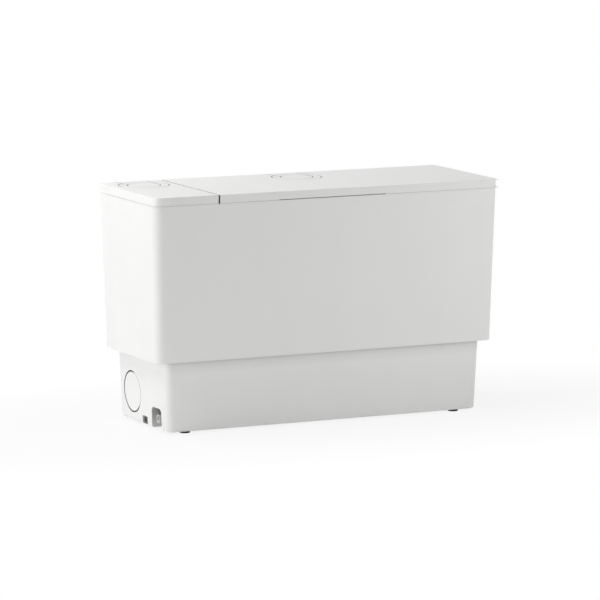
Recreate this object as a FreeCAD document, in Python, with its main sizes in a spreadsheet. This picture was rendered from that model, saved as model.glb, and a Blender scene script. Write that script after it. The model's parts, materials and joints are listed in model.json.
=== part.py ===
import FreeCAD, Part
import math
import os
import Sketcher
from FreeCAD import Placement, Rotation, Vector
from types import SimpleNamespace

# A slim sewage lifting unit: a drafted tank, an overhanging housing and a two-part lid
# around a macerating pump. Millimetres. The origin is at the middle of the footprint on
# the floor, X runs along the long side, the front looks to -Y and Z points up.

SIZES = (
    ("body_length", "500", "lid length along X"),
    ("body_depth", "187", "lid depth along Y"),
    ("body_height", "312.5", "floor to lid top"),
    ("foot_stand", "3", "gap under the tank that the feet hold open"),
    ("tank_rise", "92.8", "tank underside to the lower edge of the housing"),
    ("lid_rise", "11.5", "seam to lid top"),
    ("housing_draft", "1.48", "lean of the housing walls in degrees"),
    ("tank_draft", "2.13", "lean of the tank walls in degrees"),
    ("end_step", "15.6", "overhang of the housing at the ends"),
    ("side_step", "6.4", "overhang of the housing at the front and the back"),
    ("housing_corner", "12", "corner radius of the housing"),
    ("tank_corner", "9", "corner radius of the tank"),
    ("housing_wall", "2.6", "wall of the housing"),
    ("tank_wall", "3", "wall of the tank"),
    ("tank_edge", "2.5", "rounding of the lowest edge of the tank"),
    ("rim_thickness", "3", "flange round the tank mouth"),
    ("gasket_thickness", "1.5", "seal between tank and deck"),
    ("deck_thickness", "3.5", "deck plate over the tank"),
    ("ledge_thickness", "2.5", "inner ledge of the housing, clamped on the deck"),
    ("ledge_width", "6.5", "reach of the ledge inwards from the wall"),
    ("fit_gap", "0.3", "clearance between nested mouldings"),
    ("snug_gap", "0.05", "clearance of a pressed or turned fit"),
    ("split_inset", "91.5", "where the two covers meet, from the left end"),
    ("split_gap", "1.7", "gap between the two covers"),
    ("cover_plate", "2.5", "thickness of a cover's top"),
    ("cover_skirt", "2.2", "thickness of a cover's edge"),
    ("cover_lip", "6", "reach of the locating lip into the housing"),
    ("cover_edge", "0.8", "rounding of the top edge of a cover"),
    ("seam_gap", "0.3", "height of the shadow gap under a cover's outer edge"),
    ("seam_depth", "1", "depth of that gap"),
    ("corner_lip", "1.3", "thin plate that squares the right-hand corners of the lid"),
    ("groove_width", "1.3", "width of the knock-out grooves"),
    ("groove_depth", "1.6", "depth of the knock-out grooves"),
    ("inner_ring", "21.9", "radius of the small knock-out ring"),
    ("outer_ring", "33.5", "radius of the large knock-out ring"),
    ("grip_length", "154", "finger slot under the right cover"),
    ("grip_place", "4.3", "middle of the finger slot, along X"),
    ("grip_rise", "0.9", "height of the finger slot"),
    ("riser_inset", "47", "discharge axis, from the left end"),
    ("riser_place_y", "48.35", "discharge axis, along Y"),
    ("vent_offset", "47.6", "vent axis, left of the motor axis"),
    ("vent_place_y", "46.35", "vent axis, along Y"),
    ("side_inlet_radius", "27.6", "blanked low side inlet"),
    ("side_inlet_groove", "1.8", "width of the groove round its blank"),
    ("side_inlet_place_y", "34.35", "its axis, along Y"),
    ("side_inlet_place_z", "41.6", "its axis above the floor"),
    ("recess_width", "31", "drain recess in the left end"),
    ("recess_place", "-42.15", "middle of the recess, along Y"),
    ("recess_top", "31", "top of the recess above the floor"),
    ("recess_depth", "22", "depth of the recess"),
    ("recess_corner", "6", "rounding of the recess top corners"),
    ("drain_radius", "5.3", "outside of the drain tube"),
    ("drain_bore", "3.6", "bore of the drain tube"),
    ("drain_place_y", "-45.15", "drain axis, along Y"),
    ("drain_place_z", "16.8", "drain axis above the floor"),
    ("slot_width", "16.5", "cable slot in the left end, along Y"),
    ("slot_rise", "10.3", "height of the cable slot"),
    ("slot_place_y", "-4.4", "middle of the cable slot, along Y"),
    ("slot_place_z", "9.35", "middle of the cable slot above the floor"),
    ("duct_depth", "13.3", "cable duct behind the slot, along X"),
    ("duct_width", "9", "cable duct, along Y"),
    ("duct_place_y", "-7", "middle of the cable duct, along Y"),
    ("cable_radius", "3.5", "bore of the cable gland"),
    ("foot_radius", "7", "rubber foot"),
    ("foot_stud", "3", "radius of the foot's stud"),
    ("foot_inset_x", "28.85", "feet, from the ends of the tank's underside"),
    ("foot_inset_y", "11.85", "feet, from its front and back"),
    ("screw_radius", "1.5", "shank of the housing screws"),
    ("screw_head", "2.75", "half the width of their hexagonal heads over the corners"),
    ("screw_inset", "3.2", "screw axis inside the rim's edge"),
    ("shaft_inset", "184", "motor axis, from the right end"),
    ("shaft_radius", "6", "motor shaft"),
    ("basket_radius", "44", "outside of the cutter basket"),
    ("basket_reach", "108", "motor axis to the middle of the toilet inlet"),
    ("basket_depth", "51.8", "depth of the basket below the deck top"),
    ("basket_wall", "2", "wall of the basket"),
    ("basket_flange", "5", "reach of the basket's flange"),
    ("pipe_radius", "16", "outside of the discharge and vent pipes"),
    ("pipe_wall", "2", "wall of these pipes"),
    ("bend_radius", "34", "bend of the discharge pipe"),
    ("pump_axis", "28", "discharge axis in the tank above the floor"),
    ("outlet_reach", "56", "length of the casing's outlet stub"),
    ("pump_wall", "2.5", "wall of the pump casing"),
    ("impeller_radius", "33", "impeller"),
    ("motor_radius", "48", "outside of the motor can"),
    ("can_wall", "1.5", "wall of the motor can"),
    ("plate_thickness", "5", "motor plate"),
    ("can_height", "101", "motor plate to the top of the can"),
    ("stack_height", "60", "stator and rotor stack"),
    ("rotor_radius", "27.5", "rotor stack"),
    ("air_gap", "0.5", "rotor to stator"),
    ("inlet_bore", "51", "radius of the toilet inlet"),
    ("inlet_rise", "180", "toilet inlet axis above the floor"),
    ("sleeve_wall", "4", "wall of the rubber inlet sleeve"),
    ("flange_reach", "4", "reach of the sleeve's flange over the edge of its opening"),
    ("flange_thickness", "1.6", "thickness of that flange"),
    ("inlet_corner", "30", "corner radius of the opening in the back wall"),
    ("chamber_wall", "3", "wall of the inlet chamber"),
    ("chamber_rise", "142", "height of the inlet chamber above the deck"),
    ("spigot_drop", "20.5", "lid top down to the top of the discharge spigot"),
    ("vent_drop", "27.5", "lid top down to the top of the vent pipe"),
    ("push_length", "45", "straight end of both, down to the stop collar"),
    ("valve_radius", "25", "outside of the non-return valve"),
    ("valve_rise", "29", "valve seat to the joint with the spigot"),
    ("socket_depth", "9.5", "depth of the valve's socket over the riser"),
    ("flap_radius", "16.5", "valve flap"),
    ("flap_arm", "17.5", "flap centre to its hinge pin"),
    ("pin_radius", "1.2", "hinge pin of the flap"),
    ("bell_place_y", "-10", "pressure bell, along Y"),
    ("bell_radius", "22", "pressure bell"),
    ("hose_radius", "3.5", "pressure hose"),
    ("hose_bend", "10", "bend of the pressure hose"),
    ("switch_rise", "140", "pressure switch axis above the floor"),
    ("box_depth", "80", "control box along Y"),
    ("box_rise", "60", "control box above the deck"),
    ("box_wall", "2.5", "wall of the control box"),
    ("box_inset", "85", "left side of the control box, from the left end"),
    ("box_shift", "3.5", "its right side, left of halfway from the left end to the motor axis"),
    ("box_place_y", "-65", "front side of the control box"),
    ("capacitor_radius", "17.5", "motor capacitor"),
    ("capacitor_rise", "73", "its height"),
    ("capacitor_place_y", "-53", "its axis, along Y"),
    ("motor_lug", "63", "motor axis to the left end of the motor plate"),
)


class Size:
    """A length that carries its value and the formula that binds it to the sheet."""

    def __init__(self, value, formula):
        self.value = value
        self.formula = formula

    def __add__(self, other):
        return Size(self.value + amount(other), f"({self.formula} + {words(other)})")

    def __radd__(self, other):
        return Size(amount(other) + self.value, f"({words(other)} + {self.formula})")

    def __sub__(self, other):
        return Size(self.value - amount(other), f"({self.formula} - {words(other)})")

    def __rsub__(self, other):
        return Size(amount(other) - self.value, f"({words(other)} - {self.formula})")

    def __mul__(self, other):
        return Size(self.value * amount(other), f"({self.formula} * {words(other)})")

    def __rmul__(self, other):
        return Size(amount(other) * self.value, f"({words(other)} * {self.formula})")

    def __truediv__(self, other):
        return Size(self.value / amount(other), f"({self.formula} / {words(other)})")

    def __neg__(self):
        return Size(-self.value, f"(-1 * {self.formula})")


def amount(size):
    """The plain number behind a size."""
    return size.value if isinstance(size, Size) else float(size)


def words(size):
    """The formula text of a size."""
    return size.formula if isinstance(size, Size) else repr(float(size))


def slope(angle):
    """The tangent of an angle that the sheet gives in degrees."""
    return Size(math.tan(math.radians(angle.value)), f"tan({angle.formula})")


# The document, its sheet and the driving sizes

doc = FreeCAD.newDocument("sewage_pump")
sheet = doc.addObject("Spreadsheet::Sheet", "sizes")
named = {}
for row, (alias, text, meaning) in enumerate(SIZES, 1):
    sheet.set(f"A{row}", alias)
    sheet.set(f"B{row}", text)
    sheet.set(f"C{row}", meaning)
    sheet.setAlias(f"B{row}", alias)
    named[alias] = Size(float(text), f"sizes.{alias}")
doc.recompute()
s = SimpleNamespace(**named)

# Levels and places worked out from the driving sizes

base = s.foot_stand
floor = base + s.tank_wall
shoulder = base + s.tank_rise
rim = shoulder + s.rim_thickness
deck_under = rim + s.gasket_thickness
deck_top = deck_under + s.deck_thickness
ledge_top = deck_top + s.ledge_thickness
seam = s.body_height - s.lid_rise
plate_top = deck_top + s.plate_thickness
can_top = plate_top + s.can_height
chamber_top = deck_top + s.chamber_rise
left_end = -(s.body_length / 2)
shaft_x = s.body_length / 2 - s.shaft_inset
inlet_place = shaft_x + s.basket_reach
split_x = left_end + s.split_inset
riser_x = left_end + s.riser_inset
vent_x = shaft_x - s.vent_offset
box_left = left_end + s.box_inset
box_right = (left_end + shaft_x) / 2 - s.box_shift
box_length = box_right - box_left
motor_left = shaft_x - s.motor_lug
bell_share = 0.46
bell_x = box_right + (motor_left - box_right) * bell_share
capacitor_x = (box_right + motor_left) / 2
spigot_top = s.body_height - s.spigot_drop
vent_top = s.body_height - s.vent_drop
pipe_bore = s.pipe_radius - s.pipe_wall


def housing_half(level):
    """Half length and half depth of the housing's outside at a level."""
    lean = (s.body_height - level) * slope(s.housing_draft)
    return s.body_length / 2 - lean, s.body_depth / 2 - lean


def tank_half(level):
    """Half length and half depth of the tank's outside at a level."""
    half_x, half_y = housing_half(shoulder)
    lean = (shoulder - level) * slope(s.tank_draft)
    return half_x - s.end_step - lean, half_y - s.side_step - lean


def inset(half, by):
    """A half size drawn in by the same amount on both sides."""
    return half[0] - by, half[1] - by


rim_half = inset(housing_half(shoulder), s.housing_wall + s.fit_gap)
rim_corner = s.housing_corner - s.housing_wall - s.fit_gap
mouth_half = inset(tank_half(rim), s.tank_wall)
inner_corner = s.tank_corner - s.tank_wall
END_SCREWS_Y = (-60, 60)
SIDE_SCREWS_X = (-110, 30)


def rim_screw_places():
    """Axes of the screws that clamp housing, deck and gasket on the rim."""
    end_x = rim_half[0] - s.screw_inset
    side_y = rim_half[1] - s.screw_inset
    ends = [(side * end_x, y) for side in (-1, 1) for y in END_SCREWS_Y]
    sides = [(x, side * side_y) for side in (-1, 1) for x in SIDE_SCREWS_X]
    return ends + sides


# Binding, placing and keeping

PARTS = []


def bind(thing, **sizes):
    """Bind properties of an object to formulas on the sheet."""
    for name, size in sizes.items():
        thing.setExpression(name, words(size))
    return thing


def put(thing, x=0, y=0, z=0):
    """Bind the place of an object."""
    for axis, size in zip("xyz", (x, y, z)):
        thing.setExpression(f"Placement.Base.{axis}", words(size))
    return thing


def keep(thing, label):
    """Name a finished sub-part and list it for the export."""
    thing.Label = label
    PARTS.append(thing)
    return thing


# Primitive solids and booleans

TURNS = {"x": Rotation(Vector(0, 1, 0), 90), "y": Rotation(Vector(1, 0, 0), -90), "z": Rotation()}


def block(name, x, y, z):
    """A box between a low and a high value on each axis."""
    solid = doc.addObject("Part::Box", name)
    bind(solid, Length=x[1] - x[0], Width=y[1] - y[0], Height=z[1] - z[0])
    return put(solid, x[0], y[0], z[0])


def rod(name, radius, low, high, centre=(0, 0), along="z"):
    """A round bar from low to high along one axis; centre is its place on the other two."""
    solid = doc.addObject("Part::Cylinder", name)
    solid.Placement = Placement(Vector(), TURNS[along])
    bind(solid, Radius=radius, Height=high - low)
    first, second = centre
    places = {"x": (low, first, second), "y": (first, low, second), "z": (first, second, low)}
    return put(solid, *places[along])


def joined(name, *pieces):
    """Several solids made one."""
    solid = doc.addObject("Part::MultiFuse", name)
    solid.Shapes = list(pieces)
    solid.Refine = True
    return solid


def cut(name, stock, *tools):
    """Stock less one or more tools."""
    solid = doc.addObject("Part::Cut", name)
    solid.Base = stock
    solid.Tool = tools[0] if len(tools) == 1 else joined(f"{name}_tools", *tools)
    return solid


def ring(name, outer, inner, low, high, centre=(0, 0), along="z"):
    """A plain tube."""
    skin = rod(f"{name}_skin", outer, low, high, centre, along)
    bore = rod(f"{name}_bore", inner, low, high, centre, along)
    return cut(name, skin, bore)


def group(name, pieces):
    """Separate solids that share one node."""
    solids = doc.addObject("Part::Compound", name)
    solids.Links = pieces
    return solids


# Sketches

def new_body(name):
    return doc.addObject("PartDesign::Body", f"{name}_body")


def sketch(body, role="XY_Plane", offset=0):
    """A sketch on an origin plane of the body, moved along the plane's normal."""
    drawing = body.newObject("Sketcher::SketchObject", f"{body.Name}_sketch")
    plane = next(item for item in body.Origin.OriginFeatures if item.Role == role)
    drawing.AttachmentSupport = [(plane, "")]
    drawing.MapMode = "FlatFace"
    drawing.setExpression("AttachmentOffset.Base.z", words(offset))
    return drawing


def pin(drawing, geometry, point, x, y):
    """Tie a point of a sketch to its distances from the origin."""
    for kind, size in (("DistanceX", x), ("DistanceY", y)):
        number = drawing.addConstraint(Sketcher.Constraint(kind, -1, 1, geometry, point, amount(size)))
        drawing.setExpression(f"Constraints[{number}]", words(size))


def set_radius(drawing, geometry, size):
    number = drawing.addConstraint(Sketcher.Constraint("Radius", geometry, amount(size)))
    drawing.setExpression(f"Constraints[{number}]", words(size))


def circle(drawing, x, y, radius):
    shape = Part.Circle(Vector(amount(x), amount(y), 0), Vector(0, 0, 1), amount(radius))
    geometry = drawing.addGeometry(shape)
    pin(drawing, geometry, 3, x, y)
    set_radius(drawing, geometry, radius)


def outline(drawing, points):
    """A closed polygon with every corner tied to its size."""
    corners = [Vector(amount(x), amount(y), 0) for x, y in points]
    count = len(corners)
    lines = []
    for index, corner in enumerate(corners):
        following = corners[(index + 1) % count]
        lines.append(drawing.addGeometry(Part.LineSegment(corner, following)))
    for index, line in enumerate(lines):
        following = lines[(index + 1) % count]
        drawing.addConstraint(Sketcher.Constraint("Coincident", line, 2, following, 1))
        pin(drawing, line, 1, *points[index])


def arc_chain(drawing, arcs):
    """A closed run of arcs and tangent lines; each arc is centre x, y, radius, start and end angle."""
    pieces = []
    for x, y, radius, start, end in arcs:
        full = Part.Circle(Vector(amount(x), amount(y), 0), Vector(0, 0, 1), amount(radius))
        shape = Part.ArcOfCircle(full, math.radians(start), math.radians(end))
        geometry = drawing.addGeometry(shape)
        pin(drawing, geometry, 3, x, y)
        set_radius(drawing, geometry, radius)
        pieces.append((geometry, shape))
    for index, (geometry, shape) in enumerate(pieces):
        following, next_shape = pieces[(index + 1) % len(pieces)]
        line = drawing.addGeometry(Part.LineSegment(shape.EndPoint, next_shape.StartPoint))
        drawing.addConstraint(Sketcher.Constraint("Tangent", geometry, 2, line, 1))
        drawing.addConstraint(Sketcher.Constraint("Tangent", line, 2, following, 1))


def rounded(drawing, half_x, half_y, radius, x=0, y=0):
    """A rectangle with rounded corners."""
    side_x = half_x - radius
    side_y = half_y - radius
    arcs = (
        (x + side_x, y + side_y, radius, 0, 90),
        (x - side_x, y + side_y, radius, 90, 180),
        (x - side_x, y - side_y, radius, 180, 270),
        (x + side_x, y - side_y, radius, 270, 360),
    )
    arc_chain(drawing, arcs)


def long_hole(drawing, low_x, high_x, y, radius):
    """A slot with round ends, along the sketch's X."""
    arc_chain(drawing, ((high_x, y, radius, -90, 90), (low_x, y, radius, 90, 270)))


# Features of a body

def pad(body, drawing, length, reverse=False, middle=False):
    solid = body.newObject("PartDesign::Pad", f"{body.Name}_pad")
    solid.Profile = drawing
    solid.Reversed = reverse
    solid.Midplane = middle
    return bind(solid, Length=length)


def pocket(body, drawing, length, reverse=False, middle=False):
    """A cut against the sketch's normal, or along it where reversed."""
    hollow = body.newObject("PartDesign::Pocket", f"{body.Name}_pocket")
    hollow.Profile = drawing
    hollow.Reversed = reverse
    hollow.Midplane = middle
    return bind(hollow, Length=length)


def drafted(body, kind, *levels):
    """A straight loft through rounded rectangles; each is a level, a half size and a corner."""
    sections = []
    for level, half, corner in levels:
        section = sketch(body, offset=level)
        rounded(section, *half, corner)
        sections.append((section, [""]))
    loft = body.newObject(f"PartDesign::{kind}", f"{body.Name}_loft")
    loft.Profile = sections[0]
    loft.Sections = sections[1:]
    loft.Ruled = True
    return loft


def turned(body, points):
    """A profile of radius and height, revolved about Z."""
    drawing = sketch(body, "XZ_Plane")
    outline(drawing, points)
    solid = body.newObject("PartDesign::Revolution", f"{body.Name}_turn")
    solid.Profile = drawing
    solid.ReferenceAxis = (drawing, ["V_Axis"])
    solid.Angle = 360
    return solid


def turned_part(label, points, x=0, y=0):
    """A whole sub-part that is one turned profile on its own axis."""
    body = new_body(label)
    turned(body, points)
    put(body, x, y)
    return keep(body, label)


def round_over(body, base_feature, radius, chosen):
    """Round the edges of a feature that a test picks."""
    doc.recompute()
    edges = base_feature.Shape.Edges
    names = [f"Edge{number}" for number, edge in enumerate(edges, 1) if chosen(edge.BoundBox)]
    solid = body.newObject("PartDesign::Fillet", f"{body.Name}_fillet")
    solid.Base = (base_feature, names)
    return bind(solid, Radius=radius)


def lies_at(level):
    """A test for edges that lie flat at a level."""
    return lambda box: abs(box.ZMin - amount(level)) < 0.01 and abs(box.ZMax - amount(level)) < 0.01


def repeated(body, feature, axis, length, count):
    """A row of copies of one feature."""
    doc.recompute()
    row_of = body.newObject("PartDesign::LinearPattern", f"{body.Name}_row")
    row_of.Originals = [feature]
    row_of.Direction = (feature.Profile[0], [axis])
    row_of.Occurrences = count
    bind(row_of, Length=length)
    body.Tip = row_of
    return row_of


def turned_about(body, feature, count):
    """Copies of one feature about the sketch's normal."""
    doc.recompute()
    wheel = body.newObject("PartDesign::PolarPattern", f"{body.Name}_wheel")
    wheel.Originals = [feature]
    wheel.Axis = (feature.Profile[0], ["N_Axis"])
    wheel.Angle = 360
    wheel.Occurrences = count
    body.Tip = wheel
    return wheel


# Outer shells

def make_tank():
    """Drafted tank with its rim, the drain recess, the cable duct and the side inlet."""
    body = new_body("tank")
    low_half = tank_half(base)
    edge = s.tank_edge
    corner = s.tank_corner
    drafted(body, "AdditiveLoft", (base, inset(low_half, edge), corner - edge),
            (base + edge * 0.3, inset(low_half, edge * 0.3), corner - edge * 0.3),
            (base + edge, tank_half(base + edge), corner), (rim, tank_half(rim), corner))
    flange = sketch(body, offset=shoulder)
    rounded(flange, *rim_half, rim_corner)
    pad(body, flange, s.rim_thickness)
    floor_half = inset(tank_half(floor), s.tank_wall)
    drafted(body, "SubtractiveLoft", (floor, floor_half, inner_corner), (rim, mouth_half, inner_corner))

    in_wall = -(low_half[0] - s.tank_wall / 2)
    recess_back = -(low_half[0] - s.recess_depth)
    around_recess = sketch(body, offset=base + s.tank_wall / 2)
    half_width = s.recess_width / 2 + s.tank_wall
    recess_y = (s.recess_place - half_width, s.recess_place + half_width)
    outline(around_recess, rectangle((in_wall, recess_back + s.tank_wall), recess_y))
    pad(body, around_recess, s.recess_top + s.tank_wall / 2 - base)
    recess = sketch(body, "YZ_Plane", recess_back)
    rounded(recess, s.recess_width / 2, s.recess_top, s.recess_corner, s.recess_place)
    pocket(body, recess, s.recess_depth * 2)
    drain = sketch(body, "YZ_Plane", recess_back + s.tank_wall * 1.5)
    circle(drain, s.drain_place_y, s.drain_place_z, s.drain_radius + s.snug_gap)
    pocket(body, drain, s.tank_wall * 2)

    duct_front = -(low_half[0] - s.tank_wall)
    duct_back = duct_front + s.duct_depth
    slot_top = s.slot_place_z + s.slot_rise / 2
    low = base + s.tank_wall / 2
    for place, width, top in ((s.duct_place_y, s.duct_width, rim),
                              (s.slot_place_y, s.slot_width, slot_top + s.tank_wall)):
        around = sketch(body, offset=low)
        reach = width / 2 + s.tank_wall
        outline(around, rectangle((in_wall, duct_back + s.tank_wall), (place - reach, place + reach)))
        pad(body, around, top - low)
    duct = sketch(body, offset=rim)
    outline(duct, rectangle((duct_front, duct_back), duct_span()))
    pocket(body, duct, rim - floor)
    slot = sketch(body, "YZ_Plane", duct_back)
    rounded(slot, s.slot_width / 2, s.slot_rise / 2, 1.5, s.slot_place_y, s.slot_place_z)
    pocket(body, slot, s.duct_depth * 2)

    side_inlet = sketch(body, "YZ_Plane", -(low_half[0] - s.tank_wall * 2))
    inlet_radius = s.side_inlet_radius + s.fit_gap
    circle(side_inlet, s.side_inlet_place_y, s.side_inlet_place_z, inlet_radius)
    pocket(body, side_inlet, s.tank_wall * 4)

    sockets = sketch(body, offset=base)
    for x, y in foot_places():
        circle(sockets, x, y, s.foot_stud + s.snug_gap)
    pocket(body, sockets, s.tank_wall / 2, reverse=True)
    pilots = sketch(body, offset=rim)
    for x, y in rim_screw_places():
        circle(pilots, x, y, s.screw_radius + s.snug_gap)
    pocket(body, pilots, s.rim_thickness - 0.5)
    keep(body, "tank")


def duct_span():
    """Front and back sides of the cable duct."""
    return s.duct_place_y - s.duct_width / 2, s.duct_place_y + s.duct_width / 2


def rectangle(x, y):
    """Four corners from a low and a high value on each axis."""
    return [(x[0], y[0]), (x[1], y[0]), (x[1], y[1]), (x[0], y[1])]


def foot_places():
    half_x, half_y = tank_half(base)
    reach_x = half_x - s.foot_inset_x
    reach_y = half_y - s.foot_inset_y
    return [(x * reach_x, y * reach_y) for x in (-1, 1) for y in (-1, 1)]


def make_feet():
    """Four rubber feet with studs pressed into the tank's underside."""
    names = ("foot_front_left", "foot_back_left", "foot_front_right", "foot_back_right")
    stud_top = base + s.tank_wall / 2
    profile = [
        (0, 0), (s.foot_radius - 0.8, 0), (s.foot_radius, 0.8), (s.foot_radius, base),
        (s.foot_stud, base), (s.foot_stud, stud_top), (0, stud_top),
    ]
    for name, (x, y) in zip(names, foot_places()):
        turned_part(name, profile, x, y)


def make_housing():
    """Drafted housing: skirt over the rim, clamped ledge, open top with a bridge and ribs."""
    body = new_body("housing")
    wall = s.housing_wall
    corner = s.housing_corner

    def inside(level):
        return level, inset(housing_half(level), wall), corner - wall

    drafted(body, "AdditiveLoft", (shoulder, housing_half(shoulder), corner),
            (seam, housing_half(seam), corner))
    drafted(body, "SubtractiveLoft", inside(ledge_top), inside(seam))
    drafted(body, "SubtractiveLoft", inside(shoulder), inside(deck_top))
    window = sketch(body, offset=ledge_top)
    rounded(window, *inset(rim_half, s.ledge_width), 4)
    pocket(body, window, s.ledge_thickness)

    half_x, half_y = inset(housing_half(seam), wall / 2)
    bridge = sketch(body, offset=seam - s.cover_lip)
    outline(bridge, rectangle((split_x - 5, split_x + 5), (-half_y, half_y)))
    pad(body, bridge, s.cover_lip - 0.5)

    rib_top = seam - s.cover_lip - 6
    wall_low = housing_half(ledge_top)[1] - wall / 2
    wall_high = housing_half(rib_top)[1] - wall / 2
    rib_inside = wall_low - 7
    ribs = sketch(body, "YZ_Plane", SIDE_SCREWS_X[0] + 25)
    for side in (-1, 1):
        outline(ribs, [(side * rib_inside, ledge_top), (side * wall_low, ledge_top),
                       (side * wall_high, rib_top), (side * (wall_high - 4), rib_top)])
    rib_pad = pad(body, ribs, 2, middle=True)
    repeated(body, rib_pad, "N_Axis", 150, 3)

    inlet = sketch(body, "XZ_Plane", -half_y + 8)
    opening = s.inlet_bore + s.sleeve_wall + s.fit_gap
    rounded(inlet, opening, opening, s.inlet_corner, inlet_place, s.inlet_rise)
    pocket(body, inlet, 16)
    holes = sketch(body, offset=ledge_top)
    for x, y in rim_screw_places():
        circle(holes, x, y, s.screw_radius + s.snug_gap)
    pocket(body, holes, s.ledge_thickness)
    keep(body, "housing")


def make_cover(label, side, ring_x, ring_y):
    """One lid cover: side is -1 left of the split and 1 right of it."""
    body = new_body(label)
    top = s.body_height
    top_half = housing_half(top)
    drafted(body, "AdditiveLoft", (seam, housing_half(seam), s.housing_corner),
            (top, top_half, s.housing_corner))
    edge = split_x + side * s.split_gap / 2
    far_end = -side * (top_half[0] + 10)
    wide = top_half[1] + 10
    other = sketch(body, offset=top)
    outline(other, rectangle(sorted((edge, far_end), key=amount), (-wide, wide)))
    pocket(body, other, s.lid_rise)
    if side > 0:
        square_corners(body, top)
    round_over(body, body.Tip, s.cover_edge, lies_at(top))

    under = sketch(body, offset=seam)
    inner_end = side * (housing_half(seam)[0] - s.cover_skirt)
    inner_split = edge + side * s.cover_skirt
    inner_y = housing_half(seam)[1] - s.cover_skirt
    span = sorted((inner_split, inner_end), key=amount)
    middle = (span[0] + span[1]) / 2
    half_span = (span[1] - span[0]) / 2
    rounded(under, half_span, inner_y, 6, middle)
    pocket(body, under, s.lid_rise - s.cover_plate, reverse=True)
    add_lips(body, side, edge)
    cut_shadow_gap(body)
    cut_rings(body, top, ring_x, ring_y, top_half[1])
    if side > 0:
        grip = sketch(body, "XZ_Plane", housing_half(seam)[1] - s.cover_skirt - 1)
        half_grip = s.grip_length / 2
        span = (s.grip_place - half_grip, s.grip_place + half_grip)
        outline(grip, rectangle(span, (seam - 1, seam + s.grip_rise)))
        pocket(body, grip, s.cover_skirt + 4, reverse=True)
    keep(body, label)


def square_corners(body, top):
    """Thin plates at the lid's top and at the seam that run out to square corners."""
    half_x, half_y = housing_half(seam)
    for level in (seam, top - s.corner_lip):
        plate = sketch(body, offset=level)
        rounded(plate, s.housing_corner, half_y, 2.5, half_x - s.housing_corner)
        pad(body, plate, s.corner_lip)


def cut_shadow_gap(body):
    """Thin step round the lower outer edge, so that the seam shows as a line."""
    step = sketch(body, offset=seam)
    half_x, half_y = housing_half(seam)
    spare = s.housing_corner
    rounded(step, half_x + spare, half_y + spare, s.housing_corner)
    inner_half = inset((half_x, half_y), s.seam_depth)
    rounded(step, *inner_half, s.housing_corner - s.seam_depth)
    pocket(body, step, s.seam_gap, reverse=True)


def add_lips(body, side, edge):
    """Locating lips at the front, back and end that drop inside the housing."""
    inner = inset(housing_half(seam), s.housing_wall + s.fit_gap)
    deep = s.cover_lip
    lip = 1.8
    near = edge + side * 8
    far = side * (inner[0] - s.housing_corner)
    span = sorted((near, far), key=amount)
    for face in (-1, 1):
        y_pair = sorted((face * inner[1], face * (inner[1] - lip)), key=amount)
        rail = sketch(body, offset=seam - deep)
        outline(rail, rectangle(span, y_pair))
        pad(body, rail, deep + s.lid_rise - s.cover_plate / 2)
    end_lip = sketch(body, offset=seam - deep)
    x_pair = sorted((side * inner[0], side * (inner[0] - lip)), key=amount)
    end_y = inner[1] - s.housing_corner
    outline(end_lip, rectangle(x_pair, (-end_y, end_y)))
    pad(body, end_lip, deep + s.lid_rise - s.cover_plate / 2)


def cut_rings(body, top, x, y, back):
    """Two knock-out rings and the two lines from the small ring to the back edge."""
    half = s.groove_width / 2
    rings = sketch(body, offset=top)
    for radius in (s.inner_ring, s.outer_ring):
        circle(rings, x, y, radius - half)
        circle(rings, x, y, radius + half)
    pocket(body, rings, s.groove_depth)
    lines = sketch(body, offset=top)
    for place in (x - s.inner_ring, x + s.inner_ring):
        outline(lines, rectangle((place - half, place + half), (y, back + 5)))
    pocket(body, lines, s.groove_depth)


def make_side_inlet_plug():
    """Blank of the low side inlet behind a groove, leaning with the wall and held by a flange."""
    lean = (s.side_inlet_place_z - base) * slope(s.tank_draft)
    face = -(tank_half(base)[0] + lean)
    radius = s.side_inlet_radius
    face_radius = radius + s.fit_gap - s.side_inlet_groove
    back = s.tank_wall * 1.5
    body = new_body("plug")
    hook = s.fit_gap + 0.9
    turned(body, [(0, 0), (face_radius, 0), (face_radius, s.groove_depth), (radius, s.groove_depth),
                  (radius, s.tank_wall), (radius + hook, s.tank_wall), (radius + hook, back), (0, back)])
    body.Placement = Placement(Vector(), Rotation(Vector(0, 1, 0), 90))
    body.setExpression("Placement.Rotation.Angle", f"90 - {words(s.tank_draft)}")
    put(body, face, s.side_inlet_place_y, s.side_inlet_place_z)
    keep(body, "side_inlet_plug")


def make_drain_spigot():
    """Open drain tube in the recess, with a flange on the wet side."""
    mouth = -tank_half(base)[0]
    inner_face = mouth + s.recess_depth + s.tank_wall
    centre = (s.drain_place_y, s.drain_place_z)
    tube = rod("drain_tube", s.drain_radius, mouth, inner_face, centre, "x")
    flange = rod("drain_flange", s.drain_radius + 3, inner_face, inner_face + 2, centre, "x")
    bore = rod("drain_hole", s.drain_bore, mouth - 1, inner_face + 3, centre, "x")
    keep(cut("drain", joined("drain_solid", tube, flange), bore), "drain_spigot")


def make_cable_gland():
    """Grommet that fills the cable slot, flush with the wall."""
    body = new_body("gland")
    gap = s.snug_gap
    outer = -(tank_half(base)[0] - s.fit_gap)
    drawing = sketch(body, "YZ_Plane", outer)
    rounded(drawing, s.slot_width / 2 - gap, s.slot_rise / 2 - gap, 1.4, s.slot_place_y, s.slot_place_z)
    circle(drawing, s.slot_place_y, s.slot_place_z, s.cable_radius)
    pad(body, drawing, s.tank_wall * 3)
    keep(body, "cable_gland")


# Deck over the tank

def make_gasket():
    """Flat frame seal between the rim and the deck."""
    body = new_body("gasket")
    frame = sketch(body, offset=rim)
    rounded(frame, *rim_half, rim_corner)
    rounded(frame, *mouth_half, inner_corner)
    for x, y in rim_screw_places():
        circle(frame, x, y, s.screw_radius + s.snug_gap)
    pad(body, frame, s.gasket_thickness)
    keep(body, "deck_gasket")


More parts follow.
